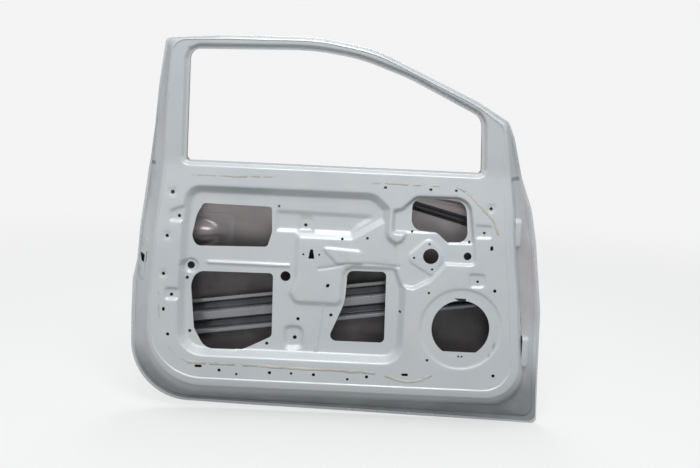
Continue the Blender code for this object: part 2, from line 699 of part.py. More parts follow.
def lattice(outline, holes, step, margin):
    """Points a step apart inside an outline and clear of its holes."""
    xs, zs = [p.x for p in outline], [p.y for p in outline]
    points = []
    for i in range(1, int((max(xs) - min(xs)) / step)):
        for k in range(1, int((max(zs) - min(zs)) / step)):
            x, z = min(xs) + i * step, min(zs) + k * step
            within = inside(outline, x, z) and not any(inside(hole, x, z) for hole in holes)
            edges = [p for loop in [outline] + holes for p in loop]
            if within and min((p - Vector((x, z))).length for p in edges) > margin:
                points.append(Vector((x, z)))
    return points


def cover(form, outline, holes, extra, height):
    """Faces that fill an outline round its holes, each point at its own height."""
    points = list(outline)
    edges = [(i, (i + 1) % len(outline)) for i in range(len(outline))]
    for hole in holes:
        first = len(points)
        edges += [(first + i, first + (i + 1) % len(hole)) for i in range(len(hole))]
        points += hole
    points += extra
    flat, _, faces, _, _, _ = delaunay_2d_cdt(points, edges, [], 0, 1e-7)
    made = [form.verts.new((p.x, height(p.x, p.y), p.y)) for p in flat]
    for face in faces:
        middle = sum((flat[i] for i in face), Vector((0, 0))) / len(face)
        if inside(outline, *middle) and not any(inside(hole, *middle) for hole in holes):
            form.faces.new([made[i] for i in face])
    loose = [v for v in made if not v.link_faces]
    bmesh.ops.delete(form, geom=loose, context="VERTS")


def make_outer_skin(paint):
    hem = rounded(offset(HEM_EDGE, -SHEET / 2), RING_STEPS)
    step = rounded(offset(LEDGE_EDGE, STEP_RUN), RING_STEPS)
    lip = [a.lerp(b, HEM_RETURN_START) for a, b in zip(step, hem)]
    front = SHEET / 2 + SEAT_GAP
    rings = [[Vector((p.x, flange_y(p.x, p.y) - front, p.y)) for p in ring] for ring in (lip, hem)]
    rings += [[Vector((p.x, skin_y(p.x, p.y), p.y)) for p in ring] for ring in (hem, step)]
    form = bmesh.new()
    loops = [[form.verts.new(p) for p in ring] for ring in rings]
    count = len(hem)
    for outer, inner in zip(loops, loops[1:]):
        for i in range(count):
            j = (i + 1) % count
            form.faces.new((outer[i], outer[j], inner[j], inner[i]))
    window = rounded(offset(WINDOW, SKIN_WINDOW_SETBACK), OPENING_STEPS)
    dome = [p for share in HANDLE_RINGS for p in handle_oval(share, DOME_SIDES)]
    field = lattice(step, [window], SKIN_STEP, SKIN_STEP / 3)
    clear = [p for p in field if p.y < SKIN_FIELD_TOP and handle_share(p.x, p.y) > HANDLE_CLEAR]
    columns = sorted({p.x for p in field})[1:-1]
    belt = [Vector((column, row * MM)) for column in columns for row in SKIN_BELT_ROWS]
    cover(form, step, [window], dome + clear + belt, skin_with_pocket)
    bmesh.ops.remove_doubles(form, verts=form.verts, dist=0.02 * MM)
    bmesh.ops.recalc_face_normals(form, faces=form.faces)
    skin = finish("outer_skin", form, DOOR, paint)
    thicken(skin, SHEET, 0)
    return skin


def make_handle_plate(paint):
    """Reinforcement bonded inside the skin round the handle pocket."""
    size = [2 * (reach + margin) for reach, margin in zip(HANDLE_REACH, HANDLE_PLATE_MARGIN)]
    corners = rounded(plate_corners(size, HANDLE_PLATE_CORNER), 3)
    outline = [corner + HANDLE_CENTRE for corner in corners]
    hole = handle_oval(HANDLE_PLATE_HOLE, 24)
    form = bmesh.new()
    cover(form, outline, [hole], [], lambda x, z: skin_inside(x, z) - SHEET / 2)
    bmesh.ops.recalc_face_normals(form, faces=form.faces)
    plate = finish("handle_reinforcement", form, DOOR, paint)
    thicken(plate, SHEET, 0)


# Pieces between the panels

def strip(name, line, section, seat_at, side, thickness, paint):
    """A pressed strip along a line of stations, its section lifted off a seat to one side."""
    stations = [Vector(point) for point in line]
    along = (stations[-1] - stations[0]).normalized()
    across = Vector((-along.y, along.x))
    rows = []
    for station in stations:
        row = []
        for reach, lift in section:
            p = (station + across * reach) * MM
            row.append(Vector((p.x, seat_at(p.x, p.y) + side * (lift * MM + thickness / 2), p.y)))
        rows.append(row)
    return strip_body(name, rows, thickness, DOOR, paint)


def make_strips(paint):
    strip("side_impact_beam", BEAM_LINE, BEAM_SECTION, lambda x, z: BEAM_Y, -1, BEAM_SHEET, paint)
    strip("belt_reinforcement_outer", BELT_OUTER_LINE, BELT_OUTER_SECTION, skin_inside, -1, SHEET,
          paint)
    strip("belt_reinforcement_inner", BELT_INNER_LINE, BELT_INNER_SECTION,
          lambda x, z: TRIM_Y + SHEET + SEAT_GAP, 1, SHEET, paint)
    strip("front_brace", BRACE_LINE, BRACE_SECTION, skin_inside, -1, SHEET, paint)


def make_beam_brackets(rings, paint):
    """Bent plates from the ends of the beam to the side walls."""
    _, rim, foot, ledge, _, _ = rings
    back = BEAM_Y + SEAT_GAP + BEAM_SHEET / 2
    hold = SHEET + BRACKET_GAP + BEAM_SHEET / 2
    ends = (("beam_rear_bracket", foot, ledge, 0, -1, *REAR_BRACKET),
            ("beam_front_bracket", rim, foot, 1, 1, *FRONT_BRACKET))
    for name, upper, lower, end, side, shares, reach in ends:
        beam_end = Vector(BEAM_LINE[end]) * MM
        rows = []
        for rise in (-BRACKET_HALF_HEIGHT, 0, BRACKET_HALF_HEIGHT):
            z = beam_end.y + rise
            wall = [wall_place(upper, lower, z, share, side) @ Vector((-hold, 0, 0))
                    for share in shares]
            bend = Vector((beam_end.x + side * reach * MM, back, z))
            lap = Vector((beam_end.x - side * BRACKET_LAP, back, z))
            rows.append(wall + [bend, lap])
        strip_body(name, rows, BEAM_SHEET, DOOR, paint)


def make_mastic_pads(paint):
    """Pads of mastic between the beam's channels and the skin."""
    (x0, z0), (x1, z1) = BEAM_LINE
    for number, (x, side) in enumerate(MASTIC_PADS, 1):
        z = z0 + (z1 - z0) * (x - x0) / (x1 - x0) + side * BEAM_CHANNEL
        width, height = MASTIC_SIZE
        outline = rounded(((x - width, z - height, 5), (x - width, z + height, 5),
                           (x + width, z + height, 5), (x + width, z - height, 5)), 2)
        seat_y = BEAM_Y + SEAT_GAP
        far = [Vector((p.x, skin_inside(p.x, p.y) + MASTIC_GAP - SEAT_GAP, p.y)) for p in outline]
        tube(f"mastic_pad_{number}", (at_depth(outline, seat_y), far), DOOR, paint)


def make_glass_channel(paint):
    """U channel welded behind the window flange, open at the bottom of both legs."""
    legs = ((WINDOW[0][0], CHANNEL_END_Z, 1),) + WINDOW[1:-1] + ((WINDOW[-1][0], CHANNEL_END_Z, 1),)
    lip, base = (rounded(offset(legs, grow), 4)[4:-4] for grow in (CHANNEL_LIP, CHANNEL_BASE))
    front = TRIM_Y + WINDOW_DEPTH + SHEET + SEAT_GAP + SHEET / 2
    back = front + CHANNEL_WIDTH
    rows = (at_depth(lip, front), at_depth(base, front), at_depth(base, back), at_depth(lip, back))
    strip_body("glass_run_channel", [list(row) for row in zip(*rows)], SHEET, DOOR, paint)


def make_wall_plates(places, paint, nut_paint):
    """Plates and weld nuts nested behind the hinge pads, the check strap and the latch."""
    holes = wall_holes()
    behind = SHEET + SEAT_GAP
    hinges = (("upper_hinge", UPPER_PAD), ("lower_hinge", LOWER_PAD))
    others = (("latch", LATCH_SEAT), ("check_strap", CHECK_SEAT))
    for name, size in hinges + others:
        top = (0 if (name, size) in hinges else SEAT_RISE) - behind
        inner = [value - 2 * PAD_PLATE_INSET for value in size]
        plate = wall_plate(f"{name}_reinforcement", places[name], inner, PAD_CORNER - 2, top,
                           PLATE, DOOR, paint)
        drill = side_holes(f"{name}_plate_holes", places[name], holes[name], PAD_SINK, TOOLS)
        combine(plate, (drill,), "DIFFERENCE")
    nut_top = -behind - PLATE - SEAT_GAP
    for name, _ in hinges:
        weld_nuts(f"{name}_nut", places[name], HINGE_NUT, nut_top, HINGE_BOLT_PITCH,
                  HINGE_BOLT_HOLE - MM, DOOR, nut_paint)
    weld_nuts("check_strap_nut", places["check_strap"], CHECK_NUT, nut_top + SEAT_RISE,
              CHECK_BOLT_PITCH, CHECK_BOLT_HOLE - MM, DOOR, nut_paint)


def lean_and_place(item):
    """Lean what is above the belt line into the cabin, and move the item to the origin."""
    form = bmesh.new()
    form.from_mesh(item.data)
    bmesh.ops.bisect_plane(form, geom=form.verts[:] + form.edges[:] + form.faces[:], dist=1e-6,
                           plane_co=(0, 0, BELT_Z), plane_no=(0, 0, 1))
    for vertex in form.verts:
        if vertex.co.z > BELT_Z:
            vertex.co.y -= (vertex.co.z - BELT_Z) * math.tan(LEAN)
        vertex.co -= UPPER_HINGE
    form.to_mesh(item.data)
    form.free()
    item.data.shade_smooth()
    item.data.set_sharp_from_angle(angle=SMOOTH_ANGLE)


remove_objects()
DOOR = make_collection("car_door_shell")
TOOLS = make_collection("press_tools")
shell_paint = make_paint("shell_paint", STEEL_PAINT, 0.35, 0.6)
hidden_paint = make_paint("primer", (0.45, 0.46, 0.52), 0.55, 0.1)
nut_zinc = make_paint("zinc", (0.55, 0.53, 0.45), 0.4, 0.9)
mastic = make_paint("mastic", (0.05, 0.05, 0.05), 0.8, 0)

ring_set = perimeter()
wall_places = {
    "upper_hinge": place_at(UPPER_HINGE),
    "lower_hinge": place_at(LOWER_HINGE),
    "latch": wall_place(ring_set[2], ring_set[3], LATCH_Z, LATCH_SHARE, -1),
    "check_strap": wall_place(ring_set[1], ring_set[2], CHECK_Z, CHECK_SHARE, 1),
}
make_inner_panel(ring_set, wall_places, shell_paint)
make_outer_skin(shell_paint)
make_handle_plate(hidden_paint)
make_strips(hidden_paint)
make_beam_brackets(ring_set, hidden_paint)
make_mastic_pads(mastic)
make_glass_channel(hidden_paint)
make_wall_plates(wall_places, hidden_paint, nut_zinc)
for piece in DOOR.objects:
    lean_and_place(piece)
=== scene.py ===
import math

import bmesh
import bpy
import numpy as np
from mathutils import Matrix, Vector
from mathutils.bvhtree import BVHTree
from mathutils.geometry import delaunay_2d_cdt
from mathutils.kdtree import KDTree


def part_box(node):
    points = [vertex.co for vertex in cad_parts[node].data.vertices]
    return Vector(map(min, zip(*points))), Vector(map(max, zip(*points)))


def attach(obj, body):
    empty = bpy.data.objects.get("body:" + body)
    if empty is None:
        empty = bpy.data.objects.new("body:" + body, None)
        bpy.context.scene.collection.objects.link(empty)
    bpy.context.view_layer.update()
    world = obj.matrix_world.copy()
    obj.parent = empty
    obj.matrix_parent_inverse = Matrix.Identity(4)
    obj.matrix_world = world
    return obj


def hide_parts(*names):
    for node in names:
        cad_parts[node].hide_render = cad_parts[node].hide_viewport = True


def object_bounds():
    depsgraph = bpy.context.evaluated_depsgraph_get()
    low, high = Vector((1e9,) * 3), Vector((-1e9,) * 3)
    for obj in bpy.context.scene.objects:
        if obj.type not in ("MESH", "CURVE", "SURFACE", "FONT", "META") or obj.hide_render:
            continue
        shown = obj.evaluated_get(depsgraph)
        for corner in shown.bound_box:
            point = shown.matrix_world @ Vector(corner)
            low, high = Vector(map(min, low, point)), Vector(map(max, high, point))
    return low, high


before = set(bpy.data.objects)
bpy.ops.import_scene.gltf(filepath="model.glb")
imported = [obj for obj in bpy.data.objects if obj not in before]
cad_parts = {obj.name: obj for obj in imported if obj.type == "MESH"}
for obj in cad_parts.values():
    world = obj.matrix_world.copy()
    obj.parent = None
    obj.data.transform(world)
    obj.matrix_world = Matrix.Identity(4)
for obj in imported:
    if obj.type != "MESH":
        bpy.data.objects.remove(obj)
cadLow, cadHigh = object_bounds()
print("frame loaded:", len(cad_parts), "pressings and fittings")

mm = 0.001
doorOrigin = Vector((14, 18, 20)) * mm  # drawing positions are in mm from the door's layout datum


def addToScene(name, data):
    made = bpy.data.objects.new(name, data)
    bpy.context.scene.collection.objects.link(made)
    return made


def makeObject(form, name):
    mesh = bpy.data.meshes.new(name)
    form.to_mesh(mesh)
    form.free()
    return addToScene(name, mesh)


# small helpers for node trees

def fillSockets(tree, node, sockets):
    # plain values are set, and other nodes' sockets are linked
    for name, value in sockets.items():
        if isinstance(value, bpy.types.NodeSocket):
            tree.links.new(value, node.inputs[name])
        else:
            node.inputs[name].default_value = value


def makeNode(tree, kind, sockets, **choices):
    node = tree.nodes.new(kind)
    for name, choice in choices.items():
        setattr(node, name, choice)
    fillSockets(tree, node, sockets)
    return node


def mixColour(tree, share, first, second):
    first, second = [(*c, 1) if isinstance(c, tuple) else c for c in (first, second)]
    sockets = {"Factor": share, "A": first, "B": second}
    return makeNode(tree, "ShaderNodeMix", sockets, data_type="RGBA").outputs["Result"]


def makeNoise(tree, where, scale, detail, roughness=0.55):
    sockets = {"Vector": where, "Scale": scale, "Detail": detail, "Roughness": roughness}
    return makeNode(tree, "ShaderNodeTexNoise", sockets).outputs["Fac"]


def makeRamp(tree, value, low, high, bottom=0.0, top=1.0):
    sockets = {"Value": value, "From Min": low, "From Max": high, "To Min": bottom, "To Max": top}
    return makeNode(tree, "ShaderNodeMapRange", sockets, interpolation_type="SMOOTHSTEP").outputs["Result"]


def combine(tree, operation, *values):
    return makeNode(tree, "ShaderNodeMath", dict(enumerate(values)), operation=operation).outputs[0]


def objectPlace(tree):
    return tree.nodes.new("ShaderNodeTexCoord").outputs["Object"]


# camera, floor and light

view = {"place": (-0.508, -3.026, 0.453), "down": 9.0, "roll": 2.65, "lens": 52.66}
studio = {
    # the floor's size and the distances between which it fades into the background
    "floorSize": 24.0, "fade": (1.4, 5.0), "leastFade": 0.6, "pale": 0.90,
    "floorLit": (0.20, 0.20, 0.20), "floorSeen": (0.80, 0.80, 0.79), "floorRoughness": 0.9,
    "skyLow": (0.44, 0.46, 0.49), "skyHigh": (0.98, 1.0, 1.02), "skySpan": (-0.05, 0.85), "skyPower": 0.88,
    # place, size and power; all point at the middle of the door
    "aim": (-0.5, 0.0, 0.0),
    "lamps": {
        "keyLamp": ((-0.35, -1.8, 1.7), (1.5, 1.0), 34.0),
        "fillLamp": ((-2.2, -2.4, 0.9), (1.6, 1.6), 6.0),
        "backLamp": ((-0.6, 1.9, 1.9), (1.4, 0.6), 18.0),
    },
}


def makeCamera(settings):
    down, roll = math.radians(settings["down"]), math.radians(settings["roll"])
    forward = Vector((0, math.cos(down), -math.sin(down)))
    level = Vector((0, math.sin(down), math.cos(down)))
    right = math.cos(roll) * Vector((1, 0, 0)) + math.sin(roll) * level
    up = -math.sin(roll) * Vector((1, 0, 0)) + math.cos(roll) * level
    lensData = bpy.data.cameras.new("doorCamera")
    lensData.lens = settings["lens"]
    lensData.sensor_width = 36
    camera = addToScene("doorCamera", lensData)
    turn = Matrix((right, up, -forward)).transposed().to_4x4()
    camera.matrix_world = Matrix.Translation(settings["place"]) @ turn
    bpy.context.scene.camera = camera


def makeLamp(name, place, target, size, power):
    lampData = bpy.data.lights.new(name, "AREA")
    lampData.shape = "RECTANGLE"
    lampData.size, lampData.size_y = size
    lampData.energy = power
    lamp = addToScene(name, lampData)
    lamp.location = place
    lamp.rotation_euler = (Vector(target) - Vector(place)).to_track_quat("-Z", "Y").to_euler()


def makeStudio(settings):
    half = settings["floorSize"] / 2
    form = bmesh.new()
    square = ((-half, -half), (half, -half), (half, half), (-half, half))
    form.faces.new([form.verts.new((x, y, cadLow.z)) for x, y in square])
    floor = makeObject(form, "studioFloor")
    paper = bpy.data.materials.new("studioPaper")
    paper.use_nodes = True
    tree = paper.node_tree
    matt, rays = tree.nodes["Principled BSDF"], tree.nodes.new("ShaderNodeLightPath").outputs
    tone = mixColour(tree, rays["Is Camera Ray"], settings["floorLit"], settings["floorSeen"])
    tree.links.new(tone, matt.inputs["Base Color"])
    matt.inputs["Roughness"].default_value = settings["floorRoughness"]
    pale = (*[settings["pale"]] * 3, 1)
    glow = makeNode(tree, "ShaderNodeEmission", {"Color": pale})
    # away from the door the floor fades into the pale background, for every ray that can show it
    away = makeNode(tree, "ShaderNodeVectorMath", {0: objectPlace(tree)}, operation="LENGTH").outputs["Value"]
    fade = makeRamp(tree, away, *settings["fade"], settings["leastFade"], 1.0)
    either = combine(tree, "MAXIMUM", rays["Is Camera Ray"], rays["Is Glossy Ray"])
    shown = combine(tree, "MAXIMUM", either, rays["Is Transmission Ray"])
    share = combine(tree, "MULTIPLY", shown, fade)
    mix = makeNode(tree, "ShaderNodeMixShader", {0: share, 1: matt.outputs[0], 2: glow.outputs[0]})
    tree.links.new(mix.outputs[0], tree.nodes["Material Output"].inputs["Surface"])
    floor.data.materials.append(paper)

    world = bpy.data.worlds.new("studioWorld")
    bpy.context.scene.world = world
    world.use_nodes = True
    tree = world.node_tree
    # a soft room: light from above, darker towards the floor
    sky = tree.nodes["Background"]
    where = tree.nodes.new("ShaderNodeTexCoord").outputs["Generated"]
    height = makeNode(tree, "ShaderNodeSeparateXYZ", {0: where}).outputs["Z"]
    height = makeRamp(tree, height, *settings["skySpan"])
    tree.links.new(mixColour(tree, height, settings["skyLow"], settings["skyHigh"]), sky.inputs["Color"])
    sky.inputs["Strength"].default_value = settings["skyPower"]
    white = makeNode(tree, "ShaderNodeBackground", {"Color": pale})
    seen = tree.nodes.new("ShaderNodeLightPath").outputs["Is Camera Ray"]
    choose = makeNode(tree, "ShaderNodeMixShader", {0: seen, 1: sky.outputs[0], 2: white.outputs[0]})
    tree.links.new(choose.outputs[0], tree.nodes["World Output"].inputs["Surface"])
    for name, (place, size, power) in settings["lamps"].items():
        makeLamp(name, place, settings["aim"], size, power)
    bpy.context.scene.view_settings.view_transform = "Standard"


makeCamera(view)
makeStudio(studio)
print("camera, floor and lamps ready")


# finishes

mistLook = {
    # each noise's scale, detail and roughness, and the ramp it is read through
    "drift": (4.5, 3.0, 0.55, 0.35, 0.68), "fleck": (1500.0, 2.0, 0.55, 0.35, 0.75),
    "speck": (160.0, 1.0, 0.5, 0.66, 0.86), "haze": (11.0, 2.0, 0.5, 0.42, 0.72), "peel": (420.0, 1.0),
    "fleckShare": 0.02, "fleckColour": (0.92, 0.94, 0.97), "grimeColour": (0.36, 0.34, 0.32),
    # ramps over how hollow the sheet is: painted shade in its corners, a painted highlight on its ridges
    "hollow": (0.05, 0.32, 0.0, 0.85), "hollowColour": (0.20, 0.21, 0.23),
    "worn": (-0.34, -0.10, 0.35, 0.0), "wornColour": (0.80, 0.82, 0.84),
}


def addInput(group, name, kind, value):
    socket = group.interface.new_socket(name, in_out="INPUT", socket_type="NodeSocket" + kind)
    socket.default_value = value


def makePaintMist(settings):
    # drifting overspray, fine fleck and dust: a colour, a roughness and a height
    tree = bpy.data.node_groups.new("paintMist", "ShaderNodeTree")
    for name, value in (("Paint", (0.6, 0.6, 0.6, 1)), ("Thin", (0.5, 0.5, 0.5, 1)), ("Dust", (0.6, 0.6, 0.6, 1))):
        addInput(tree, name, "Color", value)
    for name, value in (("Cover", 0.5), ("Smooth", 0.3), ("Rough", 0.45), ("Dustiness", 0.3), ("Crease", 0.0)):
        addInput(tree, name, "Float", value)
    for name, kind in (("Colour", "Color"), ("Roughness", "Float"), ("Height", "Float")):
        tree.interface.new_socket(name, in_out="OUTPUT", socket_type="NodeSocket" + kind)
    given, where = tree.nodes.new("NodeGroupInput").outputs, objectPlace(tree)

    def cloud(name):
        scale, detail, roughness, low, high = settings[name]
        return makeRamp(tree, makeNoise(tree, where, scale, detail, roughness), low, high)

    cover = combine(tree, "MULTIPLY", cloud("drift"), given["Cover"])
    body = mixColour(tree, cover, given["Paint"], given["Thin"])
    fleck = makeRamp(tree, cloud("fleck"), 0.0, 1.0, 0.0, settings["fleckShare"])
    body = mixColour(tree, fleck, body, settings["fleckColour"])
    haze = cloud("haze")
    dusty = combine(tree, "MULTIPLY", haze, given["Dustiness"])
    body = mixColour(tree, dusty, body, given["Dust"])
    grime = combine(tree, "MULTIPLY", cloud("speck"), dusty)
    body = mixColour(tree, grime, body, settings["grimeColour"])
    # painted shade in the sheet's hollows and a painted highlight on its ridges, both read from the crease attribute
    for paintedLight in ("hollow", "worn"):
        share = makeRamp(tree, given["Crease"], *settings[paintedLight])
        body = mixColour(tree, share, body, settings[paintedLight + "Colour"])
    rough = makeNode(tree, "ShaderNodeMix", {"Factor": haze, "A": given["Smooth"], "B": given["Rough"]})
    peel = makeNoise(tree, where, *settings["peel"])
    outputs = {"Colour": body, "Roughness": rough.outputs["Result"], "Height": peel}
    makeNode(tree, "NodeGroupOutput", outputs)
    return tree


paintMist = makePaintMist(mistLook)
# each ramp is an axis with the places where it is 0 and 1, in metres
paintZones = (
    # painted shade on the sill ledge and at the rear corner, which lie under the panel's overhang
    {"ramps": (("Z", -0.36, -0.50), ("Y", -0.045, -0.005)), "share": 0.72, "least": 0.8, "colour": (0.15, 0.16, 0.17)},
    # thin paint over brown primer on the hinge side and the latch side
    {"ramps": (("X", -0.03, 0.02), ("Y", -0.03, 0.0), ("Z", 0.165, 0.150), ("Z", -0.34, -0.26)),
     "share": 0.62, "least": 0.25, "colour": (0.47, 0.41, 0.42)},
    {"ramps": (("X", -1.068, -1.080), ("Y", -0.04, -0.01), ("Z", 0.155, 0.130), ("Z", 0.0, 0.08)),
     "share": 0.5, "least": 0.0, "patches": 14.0, "colour": (0.47, 0.41, 0.42)},
    # painted shade across the waist at both ends, in place of the notches in the skin's edge
    {"ramps": (("X", -0.048, -0.040), ("Z", 0.154, 0.157), ("Z", 0.168, 0.165)), "share": 0.75,
     "colour": (0.20, 0.21, 0.22)},
    {"ramps": (("X", -1.088, -1.094), ("Z", 0.154, 0.157), ("Z", 0.168, 0.165)), "share": 0.75,
     "colour": (0.14, 0.145, 0.15)},
)
cavityZones = (
    # painted shade inside the cavity, darker towards the bottom of the door
    {"ramps": (("Z", 0.04, -0.10),), "share": 0.92, "least": 0.9, "colour": (0.045, 0.041, 0.042)},
)
beamZones = (
    # painted shade in the beam's channels, behind its ridges
    {"ramps": (("Y", 0.0205, 0.029),), "share": 0.9, "least": 0.85, "colour": (0.035, 0.035, 0.04)},
)


def zoneShare(tree, zone):
    # the product of ramps along the door's axes, broken up by a drifting noise
    where = objectPlace(tree)
    axes = makeNode(tree, "ShaderNodeSeparateXYZ", {0: where}).outputs
    patches = makeNoise(tree, where, zone.get("patches", 9.0), 3.0)
    least = zone["share"] * zone.get("least", 1.0)
    share = makeRamp(tree, patches, 0.30, 0.60, least, zone["share"])
    for axis, start, end in zone["ramps"]:
        ends = (0.0, 1.0) if start < end else (1.0, 0.0)
        ramp = makeRamp(tree, axes[axis], min(start, end), max(start, end), *ends)
        share = combine(tree, "MULTIPLY", share, ramp)
    return share


silver = ((0.60, 0.635, 0.65), (0.51, 0.54, 0.58), (0.66, 0.66, 0.64))
finishLooks = {
    # colours: the paint, where it is thin, and dust; then the share of thin paint, two roughnesses and more
    "shellPaint": {
        "colours": silver, "cover": 0.35,
        "roughness": (0.36, 0.50), "dustiness": 0.30, "metallic": 0.18, "bump": 0.004, "coat": 0.22,
        "zones": paintZones},
    "outsidePaint": {
        "colours": silver, "cover": 0.15,
        "roughness": (0.24, 0.32), "dustiness": 0.12, "metallic": 0.30, "bump": 0.005, "coat": 0.5},
    "cavityPaint": {
        "colours": ((0.62, 0.56, 0.555), (0.38, 0.36, 0.375), (0.60, 0.55, 0.53)), "cover": 0.7,
        "roughness": (0.28, 0.45), "dustiness": 0.45, "metallic": 0.3, "zones": cavityZones},
    "beamPaint": {
        "colours": ((0.27, 0.28, 0.30), (0.17, 0.175, 0.19), (0.34, 0.34, 0.35)), "cover": 0.5,
        "roughness": (0.24, 0.38), "dustiness": 0.35, "metallic": 0.45, "zones": beamZones},
    "nutZinc": {
        "colours": ((0.55, 0.51, 0.38), (0.42, 0.42, 0.40), (0.5, 0.48, 0.44)), "cover": 0.5,
        "roughness": (0.28, 0.42), "dustiness": 0.2, "metallic": 0.9},
    "mastic": {
        "colours": ((0.05, 0.05, 0.052), (0.08, 0.078, 0.075), (0.2, 0.19, 0.18)), "cover": 0.6,
        "roughness": (0.7, 0.85), "dustiness": 0.25, "metallic": 0.0, "bump": 0.25},
    "sealer": {
        "colours": ((0.58, 0.555, 0.49), (0.40, 0.375, 0.32), (0.72, 0.71, 0.67)), "cover": 0.8,
        "roughness": (0.45, 0.7), "dustiness": 0.35, "metallic": 0.0, "bump": 0.15},
}
finishBasics = {"bump": 0.01, "bumpDepth": 0.0005, "coat": 0.0, "coatRoughness": 0.26, "zones": ()}


def makeFinish(name, settings):
    look = {**finishBasics, **settings}
    material = bpy.data.materials.new(name)
    material.use_nodes = True
    tree = material.node_tree
    sockets = {key: (*colour, 1) for key, colour in zip(("Paint", "Thin", "Dust"), look["colours"])}
    sockets["Smooth"], sockets["Rough"] = look["roughness"]
    sockets["Cover"], sockets["Dustiness"] = look["cover"], look["dustiness"]
    crease = makeNode(tree, "ShaderNodeAttribute", {}, attribute_name="crease")
    sockets["Crease"] = crease.outputs["Fac"]
    mist = tree.nodes.new("ShaderNodeGroup")
    mist.node_tree = paintMist
    relief = {"Strength": look["bump"], "Distance": look["bumpDepth"], "Height": mist.outputs["Height"]}
    body = mist.outputs["Colour"]
    for zone in look["zones"]:
        body = mixColour(tree, zoneShare(tree, zone), body, zone["colour"])
    normal = makeNode(tree, "ShaderNodeBump", relief).outputs["Normal"]
    values = {"Metallic": look["metallic"], "Coat Weight": look["coat"], "Coat Roughness": look["coatRoughness"],
              "Base Color": body, "Roughness": mist.outputs["Roughness"], "Normal": normal}
    for node, given in ((mist, sockets), (tree.nodes["Principled BSDF"], values)):
        fillSockets(tree, node, given)
    return material


finishes = {name: makeFinish(name, look) for name, look in finishLooks.items()}
print("finishes mixed")


# the door's section and the outlines of its pressings, in drawing mm: x, z and corner radius

doorSection = {
    "trim": -45, "rimDrop": 2, "body": 105, "bodyDrop": 30, "bodyCentre": -120, "bodyHalf": 430,
    "frame": 40, "blendStart": 120, "blendHeight": 300, "crown": 12, "crownLost": 0.6,
    "crownCentre": -520, "crownHalf": 660, "ledgeStep": 6, "belt": 190, "lean": 12.0, "leanSoftness": 5.0,
}
ringSteps = (7, 2, 2, 2, 2, 2, 1, 1, 4, 2, 3, 3, 3, 4, 2, 2, 2, 2, 2, 5, 1, 1)
trimCrease = (
    (-1075, -450, 155), (-1075, -230, 200), (-1071, -155, 150), (-1066, -100, 150), (-1058, 0, 300),
    (-1034, 165, 40), (-1031, 300, 300), (-1021, 420, 300), (-1008, 538, 45), (-862, 546, 400),
    (-603, 551, 600), (-447, 524.5, 400), (-152, 392, 300), (-72, 336, 45), (-66, 300, 60),
    (-58, 190, 60), (-48, 100, 200), (-40, 0, 200), (-14, -200, 300), (10, -450, 80), (-250, -451, 600),
    (-800, -451, 600))
rimEdge = (
    (-1086, -476, 165), (-1086, -230, 200), (-1080, -155, 150), (-1076, -100, 150), (-1067, 0, 300),
    (-1047, 165, 40), (-1038, 300, 300), (-1028, 420, 300), (-1014, 541, 42), (-863, 549, 400),
    (-602, 554, 600), (-446, 527, 400), (-150, 395, 300), (-62, 341, 40), (-55, 300, 60),
    (-36, 190, 60), (-22, 100, 200), (-14, 0, 200), (13, -200, 300), (36, -476, 95), (-250, -477, 600),
    (-800, -477, 600))
wallFoot = (
    (-1106, -513, 175), (-1102, -236, 200), (-1097, -160, 150), (-1093, -105, 150), (-1083, -4, 300),
    (-1063, 162, 40), (-1050, 298, 300), (-1036, 420, 300), (-1020, 541, 32), (-863, 551, 400),
    (-602, 556, 600), (-446, 529, 400), (-149, 396.5, 300), (-59, 343, 34), (-44, 300, 40),
    (-20, 184, 60), (-2, 91, 200), (8, -12, 200), (35, -217, 300), (65, -519, 100), (-250, -518, 600),
    (-800, -516, 600))
wallDepth = (45, 25, 25, 25, 25, 25, 24, 22, 20, 22, 24, 24, 22, 22, 30, 58, 72, 75, 75, 60, 56, 50)
ledgeEdge = (
    (-1138, -533, 182), (-1141, -273, 200), (-1138, -176, 80), (-1130, -119, 80), (-1121, -15, 300),
    (-1095, 156, 100), (-1069, 297, 300), (-1049, 420, 300), (-1027, 541, 22), (-864, 552.5, 400),
    (-602, 557.5, 600), (-445, 530.5, 400), (-148, 398, 300), (-57, 344, 30), (-37, 300, 20),
    (-4, 183, 60), (31, 89, 200), (55, -15, 200), (78, -222, 300), (90, -548, 28), (-250, -547, 600),
    (-800, -541, 600))
hemEdge = (
    (-1150, -547, 186), (-1154, -285, 200), (-1152, -180, 60), (-1139, -120, 60), (-1131, -16, 300),
    (-1106, 156, 100), (-1076, 297, 300), (-1058, 420, 300), (-1036, 545, 16), (-865, 559, 400),
    (-600, 564, 600), (-443, 537, 400), (-144, 404, 300), (-50, 350, 26), (-28, 305, 12),
    (12, 182, 60), (50, 88, 200), (72, -16, 200), (100, -224, 300), (106, -572, 16), (-250, -568, 600),
    (-800, -558, 600))
